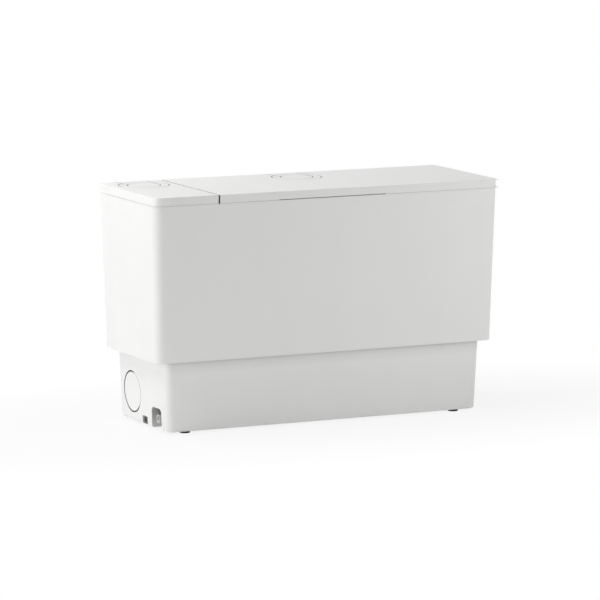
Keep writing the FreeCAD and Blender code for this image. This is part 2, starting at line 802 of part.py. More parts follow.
def make_deck():
    """Deck plate with the basket opening, pipe holes, collars and stiffening ribs."""
    body = new_body("deck")
    plate = sketch(body, offset=deck_under)
    rounded(plate, *rim_half, rim_corner)
    pad(body, plate, s.deck_thickness)
    collar_top = 4
    riser = (riser_x, s.riser_place_y)
    collars = sketch(body, offset=deck_top)
    circle(collars, *riser, s.pipe_radius + 6)
    circle(collars, *riser, s.pipe_radius + 3.2)
    pad(body, collars, collar_top)
    bars = sketch(body, offset=deck_top)
    bar = 2
    bar_left = riser_x + s.valve_radius + 8
    back_bar = rim_half[1] - 15
    front_bar = -(rim_half[1] - 8)
    outline(bars, rectangle((bar_left, box_right + 20), (back_bar, back_bar + bar)))
    outline(bars, rectangle((bar_left, motor_left + bar), (front_bar, front_bar + bar)))
    pad(body, bars, bar)
    opening = sketch(body, offset=deck_top)
    radius = s.basket_radius + s.fit_gap
    long_hole(opening, shaft_x, inlet_place, 0, radius)
    pocket(body, opening, s.deck_thickness)
    rebate = sketch(body, offset=deck_top)
    long_hole(rebate, shaft_x, inlet_place, 0, radius + s.basket_flange)
    pocket(body, rebate, s.basket_wall)
    holes = sketch(body, offset=deck_top)
    circle(holes, *riser, s.pipe_radius + 3.2)
    circle(holes, vent_x, s.vent_place_y, s.pipe_radius + 0.1)
    circle(holes, bell_x, s.bell_place_y, bell_neck() + s.snug_gap)
    for x, y in rim_screw_places():
        circle(holes, x, y, s.screw_radius + s.snug_gap)
    for x, y in motor_screw_places():
        circle(holes, shaft_x + x, y, MOTOR_SCREW + s.snug_gap)
    pocket(body, holes, s.deck_thickness)
    notch = sketch(body, offset=deck_top)
    duct_front = -(tank_half(base)[0] - s.tank_wall)
    outline(notch, rectangle((duct_front, duct_front + s.duct_depth), duct_span()))
    pocket(body, notch, s.deck_thickness)
    keep(body, "tank_deck")


def screw(name, x, y, under_head, tip, radius, head_radius, head_rise):
    """One screw: a shank and a hexagonal head."""
    shank = rod(f"{name}_shank", radius, tip, under_head, (x, y))
    head = doc.addObject("Part::Prism", f"{name}_head")
    head.Polygon = 6
    bind(head, Circumradius=head_radius, Height=head_rise)
    put(head, x, y, under_head)
    return joined(name, shank, head)


def make_housing_screws():
    """Screws through ledge, deck and gasket into the rim."""
    tip = shoulder + 0.7
    screws = [screw(f"housing_screw_{number}", x, y, ledge_top, tip, s.screw_radius, s.screw_head, 2)
              for number, (x, y) in enumerate(rim_screw_places())]
    keep(group("housing_screw_set", screws), "housing_screws")


# Inlet side

def make_basket():
    """Perforated trough that holds solids back for the cutter."""
    body = new_body("basket")
    low = deck_top - s.basket_depth
    wall = s.basket_wall
    reach = s.basket_reach
    skin = sketch(body, offset=low)
    long_hole(skin, 0, reach, 0, s.basket_radius)
    pad(body, skin, s.basket_depth)
    flange = sketch(body, offset=deck_top - wall)
    long_hole(flange, 0, reach, 0, s.basket_radius + s.basket_flange)
    pad(body, flange, wall)
    inside = sketch(body, offset=deck_top)
    long_hole(inside, 0, reach, 0, s.basket_radius - wall)
    pocket(body, inside, s.basket_depth - wall)
    shaft_hole = sketch(body, offset=low + wall)
    circle(shaft_hole, 0, 0, s.shaft_radius + 3)
    pocket(body, shaft_hole, wall)
    floor_slot = sketch(body, offset=low + wall)
    side = s.basket_radius - 14
    for face in (-1, 1):
        span = sorted((face * 4, face * side), key=amount)
        outline(floor_slot, rectangle((18, 22), span))
    floor_row = pocket(body, floor_slot, wall)
    repeated(body, floor_row, "H_Axis", reach - 18, 10)
    side_slot = sketch(body, "XZ_Plane")
    outline(side_slot, rectangle((4, 8), (low + 8, deck_top - wall - 8)))
    slot_cut = pocket(body, side_slot, s.basket_radius * 2 + 4, middle=True)
    repeated(body, slot_cut, "H_Axis", reach - 12, 10)
    put(body, shaft_x)
    keep(body, "cutter_basket")


def make_inlet_chamber():
    """Chamber between the toilet inlet and the basket."""
    body = new_body("chamber")
    wall = s.chamber_wall
    low_x = shaft_x + s.motor_radius + 1.5
    half_x = inlet_place - low_x
    back = rim_half[1] - s.ledge_width - s.fit_gap
    half_y = (back + 60) / 2
    centre_y = (back - 60) / 2
    skin = sketch(body, offset=deck_top)
    rounded(skin, half_x, half_y, 10, inlet_place, centre_y)
    solid = pad(body, skin, s.chamber_rise)
    round_over(body, solid, 6, lies_at(chamber_top))
    inside = sketch(body, offset=deck_top)
    inside_corner = 7
    rounded(inside, half_x - wall, half_y - wall, inside_corner, inlet_place, centre_y)
    pocket(body, inside, s.chamber_rise - wall, reverse=True)
    mouth = sketch(body, "XZ_Plane", -back)
    circle(mouth, inlet_place, s.inlet_rise, s.inlet_bore + s.sleeve_wall + s.fit_gap)
    pocket(body, mouth, wall + inside_corner + 1, reverse=True)
    keep(body, "inlet_chamber")


def make_inlet_sleeve():
    """Rubber sleeve of the toilet inlet, from the chamber out through the back wall."""
    skin_radius = s.inlet_bore + s.sleeve_wall
    inside = housing_half(s.inlet_rise - s.inlet_bore)[1] - 20.6
    outside = housing_half(s.inlet_rise + skin_radius)[1] + s.flange_thickness + 0.2
    centre = (inlet_place, s.inlet_rise)
    tube = rod("sleeve_tube", skin_radius, inside, outside, centre, "y")
    flange = new_body("flange")
    plate = sketch(flange, "XZ_Plane")
    reach = skin_radius + s.flange_reach
    rounded(plate, reach, reach, s.inlet_corner + s.flange_reach - s.fit_gap)
    pad(flange, plate, s.flange_thickness, reverse=True)
    flange.Placement = Placement(Vector(), Rotation(Vector(1, 0, 0), 1))
    flange.setExpression("Placement.Rotation.Angle", f"-1 deg * {s.housing_draft.formula}")
    put(flange, inlet_place, housing_half(s.inlet_rise)[1] + 0.2, s.inlet_rise)
    bore = rod("sleeve_bore", s.inlet_bore, inside - 1, outside + 3, centre, "y")
    keep(cut("sleeve", joined("sleeve_solid", tube, flange), bore), "inlet_sleeve")


# Motor and pump, drawn about their own axis and placed on it

MOTOR_SCREW = 2


def motor_screw_places():
    """Screw axes of the motor plate, from the shaft axis."""
    return [(38, -54), (38, 54), (-56, 0)]


def make_motor_plate():
    """Plate that closes the deck over the cutter and carries seal, bearing and can."""
    body = new_body("plate")
    register = s.motor_radius - s.can_wall - 0.1
    seal_radius = SEAL_RADIUS + s.snug_gap
    seat = LOWER_BEARING + s.snug_gap
    turned(body, [
        (seal_radius, deck_top), (s.motor_radius + 1, deck_top), (s.motor_radius + 1, plate_top),
        (register, plate_top), (register, plate_top + 6), (register - 3, plate_top + 6),
        (register - 3, plate_top), (18, plate_top), (18, plate_top + 10), (seat, plate_top + 10),
        (seat, plate_top + 1), (seal_radius, plate_top + 1),
    ])
    wings = sketch(body, offset=deck_top)
    for side in (-1, 1):
        rounded(wings, 14, 20, 4, s.motor_radius - 14, side * 40)
    pad(body, wings, s.plate_thickness)
    lug = sketch(body, offset=deck_top)
    rounded(lug, 12, 8, 5, -51)
    pad(body, lug, s.plate_thickness)
    holes = sketch(body, offset=plate_top)
    for x, y in motor_screw_places():
        circle(holes, x, y, MOTOR_SCREW + s.snug_gap)
    pocket(body, holes, s.plate_thickness)
    put(body, shaft_x)
    keep(body, "motor_plate")


def make_motor_screws():
    """Screws through the motor plate into the deck."""
    screws = [screw(f"motor_screw_{number}", shaft_x + x, y, plate_top, deck_under,
                    MOTOR_SCREW, 4, 3)
              for number, (x, y) in enumerate(motor_screw_places())]
    keep(group("motor_screw_set", screws), "motor_screws")


SEAL_RADIUS = 11
LOWER_BEARING = 14
UPPER_BEARING = 13
BEARING_WIDTH = 8
WINDING_RISE = 12


def make_motor():
    """Can, cap, stator, bearings and seal round the shaft."""
    inner = s.motor_radius - s.can_wall
    bead = 0.8
    middle = (plate_top + can_top) / 2
    turned_part("motor_can", [
        (inner, plate_top), (s.motor_radius, plate_top), (s.motor_radius, middle - 6),
        (s.motor_radius + bead, middle - 4), (s.motor_radius + bead, middle + 4),
        (s.motor_radius, middle + 6), (s.motor_radius, can_top), (inner, can_top),
    ], shaft_x)
    cap_top = can_top + 13
    spigot = inner - 0.1
    seat = UPPER_BEARING + s.snug_gap
    turned_part("motor_cap", [
        (0, cap_top), (38, cap_top), (s.motor_radius, cap_top - 8), (s.motor_radius, can_top),
        (spigot, can_top), (spigot, can_top - 5), (spigot - 3, can_top - 5), (spigot - 3, can_top + 1),
        (37, cap_top - 3), (17, cap_top - 3), (17, can_top - 6), (seat, can_top - 6),
        (seat, cap_top - 6), (0, cap_top - 6),
    ], shaft_x)
    stack_low = plate_top + 20
    stack_high = stack_low + s.stack_height
    bore = s.rotor_radius + s.air_gap
    keep(ring("stator", inner - s.snug_gap, bore, stack_low, stack_high, (shaft_x, 0)), "stator_core")
    coils = [ring(name, inner - 4, bore + 2, low, low + WINDING_RISE, (shaft_x, 0))
             for name, low in (("lower_coil", stack_low - WINDING_RISE), ("upper_coil", stack_high))]
    keep(group("windings", coils), "stator_windings")
    running = s.shaft_radius + s.snug_gap
    for name, outer, low in (("upper_bearing", UPPER_BEARING, can_top - 5),
                             ("lower_bearing", LOWER_BEARING, plate_top + 1)):
        keep(ring(f"{name}_ring", outer, running, low, low + BEARING_WIDTH, (shaft_x, 0)), name)
    seal = ring("seal", SEAL_RADIUS, running, deck_top + 0.5, plate_top + 1, (shaft_x, 0))
    keep(seal, "shaft_seal")


def make_rotor():
    """Shaft, rotor stack, cutter and impeller, which turn together."""
    tip = pump_floor() + 1
    shaft_top = can_top + 5
    lower = s.shaft_radius - 1
    cutter_low = deck_top - s.basket_depth + s.basket_wall + 3
    turned_part("rotor_shaft", [
        (0, tip), (lower - 0.5, tip), (lower, tip + 0.5), (lower, cutter_low - 3),
        (s.shaft_radius, cutter_low - 3), (s.shaft_radius, shaft_top - 0.5),
        (s.shaft_radius - 0.5, shaft_top), (0, shaft_top),
    ], shaft_x)
    stack_low = plate_top + 20
    stack = ring("rotor", s.rotor_radius, s.shaft_radius + s.snug_gap, stack_low,
                 stack_low + s.stack_height, (shaft_x, 0))
    keep(stack, "rotor_core")
    make_cutter(cutter_low)
    make_impeller()


def make_cutter(low):
    """Two-armed cutter with upturned tips on a hub."""
    body = new_body("cutter")
    hub = sketch(body, offset=low)
    circle(hub, 0, 0, s.shaft_radius + 5)
    circle(hub, 0, 0, s.shaft_radius + s.snug_gap)
    pad(body, hub, 11)
    reach = s.basket_radius - s.basket_wall - 4
    inner = s.shaft_radius + 3
    arm = sketch(body, offset=low)
    outline(arm, [(inner, -6), (reach, -3), (reach, 4), (inner, 6)])
    arm_pad = pad(body, arm, 3)
    tip = sketch(body, offset=low)
    outline(tip, [(reach - 4, -3), (reach, -3), (reach, 4), (reach - 4, 4)])
    tip_pad = pad(body, tip, 15)
    doc.recompute()
    wheel = body.newObject("PartDesign::PolarPattern", "cutter_wheel")
    wheel.Originals = [arm_pad, tip_pad]
    wheel.Axis = (arm, ["N_Axis"])
    wheel.Angle = 360
    wheel.Occurrences = 2
    body.Tip = wheel
    put(body, shaft_x)
    keep(body, "macerator_blade")


def make_impeller():
    """Open impeller with six vanes swept back in arcs."""
    body = new_body("impeller")
    low = pump_floor() + 2
    lower_shaft = s.shaft_radius - 1
    disc = sketch(body, offset=low)
    circle(disc, 0, 0, s.impeller_radius)
    circle(disc, 0, 0, lower_shaft + s.snug_gap)
    pad(body, disc, 2.5)
    hub = sketch(body, offset=low)
    circle(hub, 0, 0, lower_shaft + 4)
    circle(hub, 0, 0, lower_shaft + s.snug_gap)
    pad(body, hub, 22)
    vane = sketch(body, offset=low)
    root = lower_shaft + 3
    tip = s.impeller_radius - 0.5
    draw_vane(vane, root, tip, 55, 7)
    vane_pad = pad(body, vane, 19)
    turned_about(body, vane_pad, 6)
    put(body, shaft_x)
    keep(body, "impeller")


def draw_vane(drawing, root, tip, sweep, thickness_angle):
    """A vane between two arcs, from a root radius to a tip radius, swept back by an angle."""
    def polar(radius, degrees):
        return radius * math.cos(math.radians(degrees)), radius * math.sin(math.radians(degrees))

    corners = [polar(root, 0), polar(tip, -sweep), polar(tip, -sweep + thickness_angle), polar(root, 22)]
    points = [Vector(amount(x), amount(y), 0) for x, y in corners]
    bulge = amount(tip) * 0.62
    lower = bent_line(drawing, points[0], points[1], bulge)
    end = drawing.addGeometry(Part.LineSegment(points[1], points[2]))
    upper = bent_line(drawing, points[3], points[2], bulge)
    start = drawing.addGeometry(Part.LineSegment(points[3], points[0]))
    join = Sketcher.Constraint
    drawing.addConstraint(join("Coincident", end, 1, *lower[1]))
    drawing.addConstraint(join("Coincident", end, 2, *upper[1]))
    drawing.addConstraint(join("Coincident", start, 1, *upper[0]))
    drawing.addConstraint(join("Coincident", start, 2, *lower[0]))
    pin(drawing, end, 1, *corners[1])
    pin(drawing, end, 2, *corners[2])
    pin(drawing, start, 1, *corners[3])
    pin(drawing, start, 2, *corners[0])
    for side in (lower, upper):
        set_radius(drawing, side[0][0], tip * 0.62)


def bent_line(drawing, start, end, radius):
    """An arc of a given radius between two points, bowed to the left of the way; its two ends."""
    half = (end - start) * 0.5
    left = Vector(-half.y, half.x, 0).normalize()
    away = math.sqrt(radius ** 2 - half.Length ** 2)
    bow = radius - away
    through = start + half + left * bow
    arc = drawing.addGeometry(arc_of(start, through, end))
    shape = drawing.Geometry[arc]
    first = 1 if shape.StartPoint.distanceToPoint(start) < 0.001 else 2
    return (arc, first), (arc, 3 - first)


def arc_of(start, through, end):
    """The arc of a circle through three points."""
    edge = Part.Arc(start, through, end).toShape()
    full = Part.Circle(edge.Curve.Center, Vector(0, 0, 1), edge.Curve.Radius)
    angles = []
    for point in (start, through, end):
        arm = point - edge.Curve.Center
        angles.append(math.atan2(arm.y, arm.x))
    low, middle, high = angles
    if ((middle - low) % math.tau) > ((high - low) % math.tau):
        low, high = high, low
    return Part.ArcOfCircle(full, low, low + (high - low) % math.tau)


def pump_floor():
    """Level of the casing's inner floor."""
    return s.pump_axis - pipe_bore


def spiral(drawing, wall):
    """Four quarter arcs round a small square make the casing's spiral outline."""
    step = pipe_bore / 2
    half = step / 2
    outer = s.riser_place_y + pipe_bore - half + wall
    centres = ((-half, half), (half, half), (half, -half), (-half, -half))
    arcs = []
    for quarter, (x, y) in enumerate(centres):
        radius = outer - quarter * step
        full = Part.Circle(Vector(amount(x), amount(y), 0), Vector(0, 0, 1), amount(radius))
        high = math.radians(90 - 90 * quarter)
        arc = drawing.addGeometry(Part.ArcOfCircle(full, high - math.pi / 2, high))
        pin(drawing, arc, 3, x, y)
        set_radius(drawing, arc, radius)
        across, along = (("DistanceX", x), ("DistanceY", y))
        at_end, at_start = (across, along) if quarter % 2 == 0 else (along, across)
        for point, (kind, size) in ((2, at_end), (1, at_start)):
            number = drawing.addConstraint(Sketcher.Constraint(kind, -1, 1, arc, point, amount(size)))
            drawing.setExpression(f"Constraints[{number}]", words(size))
        arcs.append(arc)
    shapes = drawing.Geometry
    closing = Part.LineSegment(shapes[arcs[3]].StartPoint, shapes[arcs[0]].EndPoint)
    line = drawing.addGeometry(closing)
    drawing.addConstraint(Sketcher.Constraint("Coincident", line, 1, arcs[3], 1))
    drawing.addConstraint(Sketcher.Constraint("Coincident", line, 2, arcs[0], 2))


def casing_top():
    return s.pump_axis + pipe_bore


def make_volute():
    """Spiral pump casing with its tangential outlet, standing on three legs."""
    body = new_body("volute")
    low = pump_floor() - s.pump_wall
    skin = sketch(body, offset=low)
    spiral(skin, s.pump_wall)
    pad(body, skin, casing_top() - low)
    start = -(pipe_bore / 4)
    outlet = sketch(body, "YZ_Plane", start)
    circle(outlet, s.riser_place_y, s.pump_axis, s.pipe_radius)
    pad(body, outlet, s.outlet_reach, reverse=True)
    inside = sketch(body, offset=casing_top())
    spiral(inside, 0)
    pocket(body, inside, casing_top() - pump_floor())
    bore = sketch(body, "YZ_Plane", start)
    circle(bore, s.riser_place_y, s.pump_axis, pipe_bore - s.fit_gap)
    pocket(body, bore, s.outlet_reach + 4)
    legs = sketch(body, offset=floor)
    for angle in (30, 150, 270):
        reach = s.impeller_radius - 6
        circle(legs, reach * math.cos(math.radians(angle)), reach * math.sin(math.radians(angle)), 4)
    pad(body, legs, low - floor)
    put(body, shaft_x)
    keep(body, "pump_volute")


def make_volute_cover():
    """Suction plate on the casing with the impeller eye."""
    body = new_body("suction")
    plate = sketch(body, offset=casing_top())
    spiral(plate, s.pump_wall)
    circle(plate, 0, 0, s.impeller_radius / 2)
    pad(body, plate, s.pump_wall)
    put(body, shaft_x)
    keep(body, "volute_cover")


# Discharge side

def elbow(name, bend, radius, centre, first, second):
    """A quarter ring of round bar that turns from one direction to another about its centre."""
    solid = doc.addObject("Part::Torus", name)
    solid.Placement = Placement(Vector(), Rotation(first, second, first.cross(second), "XYZ"))
    bind(solid, Radius1=bend, Radius2=radius)
    solid.Angle3 = 90
    return put(solid, *centre)


def make_discharge_pipe():
    """Pipe from the casing along the tank, then up through the deck."""
    bend = s.bend_radius
    corner_x = riser_x + bend
    corner_z = s.pump_axis + bend
    place = (s.riser_place_y, s.pump_axis)
    bars = []
    for kind, radius in (("skin", s.pipe_radius), ("bore", pipe_bore)):
        run = rod(f"pipe_run_{kind}", radius, corner_x, outlet_end(), place, "x")
        turn = elbow(f"pipe_turn_{kind}", bend, radius, (corner_x, s.riser_place_y, corner_z),
                     Vector(0, 0, -1), Vector(-1, 0, 0))
        rise = rod(f"pipe_rise_{kind}", radius, corner_z, valve_step(), (riser_x, s.riser_place_y))
        bars.append(joined(f"pipe_{kind}", run, turn, rise))
    keep(cut("pipe", *bars), "discharge_pipe")


def outlet_end():
    """Where the casing's outlet stub ends, along X."""
    return shaft_x - pipe_bore / 4 - s.outlet_reach


def valve_step():
    """Level of the stop in the valve's socket, where the riser ends."""
    return deck_top + 14


def make_coupling():
    """Sleeve over the joint between casing and pipe."""
    centre = (s.riser_place_y, s.pump_axis)
    middle = outlet_end()
    sleeve = ring("coupling", s.pipe_radius + 3, s.pipe_radius + s.snug_gap, middle - 15, middle + 15,
                  centre, "x")
    keep(sleeve, "pipe_coupling")


def make_riser_seal():
    """Ring seal of the riser in the deck."""
    inner = s.pipe_radius + s.snug_gap
    outer = s.pipe_radius + 3.2 - s.snug_gap
    centre = (riser_x, s.riser_place_y)
    keep(ring("riser_ring", outer, inner, deck_under, deck_top + 3, centre), "riser_seal")


def flap_seat():
    """Level of the valve's seat."""
    return valve_step() + 3


def make_valve():
    """Non-return valve: body with its seat, hinged flap, pin and the clamp to the spigot."""
    step = valve_step()
    seat = flap_seat()
    joint = seat + s.valve_rise
    outer = s.valve_radius
    inner = outer - 3
    socket = s.pipe_radius + s.snug_gap
    hinge = seat + 3.5
    pin_reach = outer * 0.6
    place = (riser_x, s.riser_place_y)
    body = new_body("valve")
    turned(body, [
        (12.5, step), (socket, step), (socket, step - s.socket_depth), (socket + 3, step - s.socket_depth),
        (socket + 3, step - 2), (outer, step + 2), (outer, joint), (inner, joint), (inner, seat),
        (12.5, seat),
    ])
    pin_hole = sketch(body, "YZ_Plane")
    circle(pin_hole, s.flap_arm, hinge, s.pin_radius + s.snug_gap)
    pocket(body, pin_hole, pin_reach * 2 + 1, middle=True)
    put(body, *place)
    keep(body, "valve_body")

    pin_y = s.riser_place_y + s.flap_arm
    pin_rod = rod("hinge_pin", s.pin_radius, riser_x - pin_reach, riser_x + pin_reach, (pin_y, hinge), "x")
    keep(pin_rod, "valve_pin")

    low = seat + s.fit_gap
    disc = rod("flap_disc", s.flap_radius, low, low + 2.8, place)
    arm = block("flap_arm_bar", (riser_x - 5, riser_x + 5),
                (s.riser_place_y + 8, pin_y), (low + 0.5, low + 3.6))
    knuckle = rod("flap_knuckle", s.pin_radius + 1.5, riser_x - 5, riser_x + 5,
                  (pin_y, hinge), "x")
    eye = rod("flap_eye", s.pin_radius + s.snug_gap, riser_x - 6, riser_x + 6,
              (pin_y, hinge), "x")
    keep(cut("flap", joined("flap_solid", disc, arm, knuckle), eye), "valve_flap")
    collar = spigot_top - s.push_length
    turned_part("discharge_spigot", [
        (inner, joint), (outer, joint), (outer, joint + 10), (s.pipe_radius, joint + 22),
        (s.pipe_radius, collar - 3), (s.pipe_radius + 2, collar - 3), (s.pipe_radius + 2, collar),
        (s.pipe_radius, collar),
        (s.pipe_radius, spigot_top - 1), (s.pipe_radius - 1, spigot_top),
        (pipe_bore, spigot_top), (pipe_bore, joint + 20), (inner, joint + 8),
    ], *place)
    clamp = ring("clamp", outer + 3, outer + s.snug_gap, joint - 6, joint + 6, place)
    ears = block("clamp_ears", (riser_x + outer + 1, riser_x + outer + 11),
                 (s.riser_place_y - 4, s.riser_place_y + 4), (joint - 5, joint + 5))
    gap = block("clamp_gap", (riser_x + outer - 2, riser_x + outer + 12),
                (s.riser_place_y - 1, s.riser_place_y + 1), (joint - 7, joint + 7))
    keep(cut("clamp_split", joined("clamp_solid", clamp, ears), gap), "valve_clamp")


def make_vent():
    """Vent pipe on the deck with a filter cartridge in its top."""
    bore = s.pipe_radius - 2.5
    place = (vent_x, s.vent_place_y)
    collar = vent_top - s.push_length
    turned_part("vent_pipe", [
        (bore, deck_under - 4), (s.pipe_radius, deck_under - 4), (s.pipe_radius, deck_top),
        (s.pipe_radius + 1, deck_top), (s.pipe_radius + 1, deck_top + 3), (s.pipe_radius, deck_top + 3),
        (s.pipe_radius, collar - 3), (s.pipe_radius + 2, collar - 3), (s.pipe_radius + 2, collar),
        (s.pipe_radius, collar), (s.pipe_radius, vent_top), (bore, vent_top),
    ], *place)
    body = new_body("filter")
    turned(body, [
        (0, vent_top - 42), (bore - s.snug_gap, vent_top - 42), (bore - s.snug_gap, vent_top),
        (s.pipe_radius - 0.4, vent_top), (s.pipe_radius - 0.4, vent_top + 1.5),
        (s.pipe_radius - 1.4, vent_top + 2.5), (0, vent_top + 2.5),
    ])
    slots = sketch(body, offset=vent_top + 2.5)
    outline(slots, rectangle((-9, 9), (-9.5, -8)))
    slot_cut = pocket(body, slots, 2)
    repeated(body, slot_cut, "V_Axis", 17.5, 5)
    put(body, *place)
    keep(body, "vent_filter")


# Level sensing and control

def bell_neck():
    """Radius of the bell's neck through the deck."""
    return s.hose_radius + 2.5


def make_bell():
    """Air bell in the tank whose pressure tells the level."""
    neck = bell_neck()
    bore = s.hose_radius - 1.5
    low = floor + 16
    turned_part("pressure_bell", [
        (s.bell_radius - 2, low), (s.bell_radius, low), (s.bell_radius, deck_under),
        (neck, deck_under), (neck, deck_top + 4), (s.hose_radius, deck_top + 4),
        (s.hose_radius, deck_top + 10), (bore, deck_top + 10), (bore, deck_under - 2),
        (s.bell_radius - 2, deck_under - 2),
    ], bell_x, s.bell_place_y)


def make_hose():
    """Air hose from the bell up and over to the switch."""
    start = deck_top + 10
    bend = s.hose_bend
    corner_x = bell_x - bend
    corner_z = s.switch_rise - bend
    bars = []
    for kind, radius in (("skin", s.hose_radius), ("bore", s.hose_radius - 1.5)):
        rise = rod(f"hose_rise_{kind}", radius, start, corner_z, (bell_x, s.bell_place_y))
        turn = elbow(f"hose_turn_{kind}", bend, radius, (corner_x, s.bell_place_y, corner_z),
                     Vector(1, 0, 0), Vector(0, 0, 1))
        run = rod(f"hose_run_{kind}", radius, box_right + 23, corner_x, (s.bell_place_y, s.switch_rise), "x")
        bars.append(joined(f"hose_{kind}", rise, turn, run))
    keep(cut("hose", *bars), "pressure_hose")


PLUNGER_RADIUS = 2.5


def make_switch():
    """Pressure switch on the side of the control box, with its plunger."""
    side = box_right
    centre = (s.bell_place_y, s.switch_rise)
    case = rod("switch_case", 20, side, side + 13, centre, "x")
    dome = rod("switch_dome", 14, side + 13, side + 17, centre, "x")
    port = rod("switch_port", s.hose_radius, side + 17, side + 23, centre, "x")
    bore = rod("switch_bore", PLUNGER_RADIUS + s.snug_gap, side - 1, side + 6, centre, "x")
    air = rod("switch_air", 1.2, side + 9, side + 24, centre, "x")
    keep(cut("switch", joined("switch_solid", case, dome, port), bore, air), "switch_body")
    pin_rod = rod("switch_pin", PLUNGER_RADIUS, side - 6, side + 5, centre, "x")
    keep(pin_rod, "switch_plunger")


def box_middle():
    """Centre of the control box in plan."""
    return box_left + box_length / 2, s.box_place_y + s.box_depth / 2


def control_screw_places():
    x, y = box_middle()
    reach_x = box_length / 2 - 6
    reach_y = s.box_depth / 2 - 6
    return [(x + a * reach_x, y + b * reach_y) for a in (-1, 1) for b in (-1, 1)]


def make_control_box():
    """Box for the motor's electrics, with corner posts for the lid screws."""
    x, y = box_middle()
    half = (box_length / 2, s.box_depth / 2)
    top = deck_top + s.box_rise
    wall = s.box_wall
    body = new_body("control")
    skin = sketch(body, offset=deck_top)
    rounded(skin, *half, 4, x, y)
    pad(body, skin, s.box_rise)
    inside = sketch(body, offset=top)
    rounded(inside, half[0] - wall, half[1] - wall, 2, x, y)
    pocket(body, inside, s.box_rise - wall)
    posts = sketch(body, offset=deck_top + wall / 2)
    for place_x, place_y in control_screw_places():
        rounded(posts, 4.5, 4.5, 1, place_x, place_y)
    pad(body, posts, s.box_rise - wall / 2)
    pilots = sketch(body, offset=top)
    for place_x, place_y in control_screw_places():
        circle(pilots, place_x, place_y, s.screw_radius + s.snug_gap)
    pocket(body, pilots, 10)
    hole = sketch(body, "YZ_Plane", box_right + 1)
    circle(hole, s.bell_place_y, s.switch_rise, PLUNGER_RADIUS + s.snug_gap)
    pocket(body, hole, wall + 2)
    keep(body, "control_box")

    lid = new_body("lid")
    plate = sketch(lid, offset=top)
    rounded(plate, half[0] + 1, half[1] + 1, 5, x, y)
    solid = pad(lid, plate, 4)
    round_over(lid, solid, 1.5, lies_at(top + 4))
    lid_holes = sketch(lid, offset=top + 4)
    for place_x, place_y in control_screw_places():
        circle(lid_holes, place_x, place_y, s.screw_radius + s.snug_gap)
    pocket(lid, lid_holes, 4)
    keep(lid, "control_lid")
    screws = [screw(f"control_screw_{number}", a, b, top + 4, top - 8, s.screw_radius, 3, 2)
              for number, (a, b) in enumerate(control_screw_places())]
    keep(group("control_screw_set", screws), "control_screws")


def make_capacitor():
    """Motor capacitor in its holder on the deck."""
    place = (capacitor_x, s.capacitor_place_y)
    radius = s.capacitor_radius
    low = deck_top + 2
    top = low + s.capacitor_rise
    turned_part("capacitor", [
        (0, low), (radius - 1, low), (radius, low + 1), (radius, top - 3), (radius - 3, top),
        (4, top), (4, top + 3), (0, top + 3),
    ], *place)
    bore = radius + s.snug_gap
    turned_part("capacitor_holder", [
        (0, deck_top), (radius + 4, deck_top), (radius + 4, deck_top + 3), (radius + 2, deck_top + 5),
        (radius + 2, deck_top + 24), (bore, deck_top + 24), (bore, low), (0, low),
    ], *place)


# Build, check and write

def check_document():
    """Stop if any object failed or any cut took nothing away."""
    for thing in doc.Objects:
        if "Invalid" in thing.State or "Error" in thing.State:
            raise RuntimeError(f"{thing.Label} did not build: {thing.State}")
        if thing.TypeId in ("PartDesign::Pocket", "PartDesign::SubtractiveLoft"):
            if thing.BaseFeature.Shape.Volume - thing.Shape.Volume < 0.01:
                raise RuntimeError(f"{thing.Label} cuts nothing")
    for part in PARTS:
        if part.Shape.isNull() or not part.Shape.isValid():
            raise RuntimeError(f"{part.Label} has no valid shape")


def write_parts():
    os.makedirs("parts", exist_ok=True)
    for part in PARTS:
        part.Shape.exportStep(f"parts/{part.Label}.step")
        print(f"{part.Label}: {len(part.Shape.Solids)} solid, {part.Shape.Volume / 1000:.1f} cm3")


make_tank()
make_feet()
make_housing()
make_cover("cover_left", -1, riser_x, s.riser_place_y)
make_cover("cover_right", 1, vent_x, s.vent_place_y)
make_side_inlet_plug()
make_drain_spigot()
make_cable_gland()
make_gasket()
make_deck()
make_housing_screws()
make_basket()
make_inlet_chamber()
make_inlet_sleeve()
make_motor_plate()
make_motor_screws()
make_motor()
make_rotor()
make_volute()
make_volute_cover()
make_discharge_pipe()
make_coupling()
make_riser_seal()
make_valve()
make_vent()
make_bell()
make_hose()
make_switch()
make_control_box()
make_capacitor()
doc.recompute()
check_document()
write_parts()
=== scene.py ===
# %% [markdown]
# # A slim sewage lifting unit
# A white moulded box that stands behind a toilet and pumps its waste away. The solids of every piece come from
# the CAD model and are never moved or reshaped here. This script gives them their finish, adds the small
# forms that make each one look made, and sets up light and camera.

import bmesh
import bpy
import json
import math
from mathutils import Matrix, Vector


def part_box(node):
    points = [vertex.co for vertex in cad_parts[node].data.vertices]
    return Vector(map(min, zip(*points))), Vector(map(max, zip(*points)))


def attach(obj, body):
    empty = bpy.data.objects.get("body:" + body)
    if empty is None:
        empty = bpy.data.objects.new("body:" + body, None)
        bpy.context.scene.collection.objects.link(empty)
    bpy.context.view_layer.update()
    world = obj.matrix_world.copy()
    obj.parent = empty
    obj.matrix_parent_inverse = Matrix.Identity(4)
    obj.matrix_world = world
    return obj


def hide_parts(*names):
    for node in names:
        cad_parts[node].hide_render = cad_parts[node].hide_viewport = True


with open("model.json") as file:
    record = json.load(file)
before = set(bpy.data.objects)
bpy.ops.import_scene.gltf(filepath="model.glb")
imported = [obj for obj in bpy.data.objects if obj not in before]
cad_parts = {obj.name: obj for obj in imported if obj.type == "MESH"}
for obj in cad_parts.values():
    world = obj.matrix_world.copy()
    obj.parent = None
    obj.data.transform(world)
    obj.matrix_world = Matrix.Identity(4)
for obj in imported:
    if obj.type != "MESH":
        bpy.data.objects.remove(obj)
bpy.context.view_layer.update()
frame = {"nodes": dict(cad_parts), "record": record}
nodes = frame["nodes"]

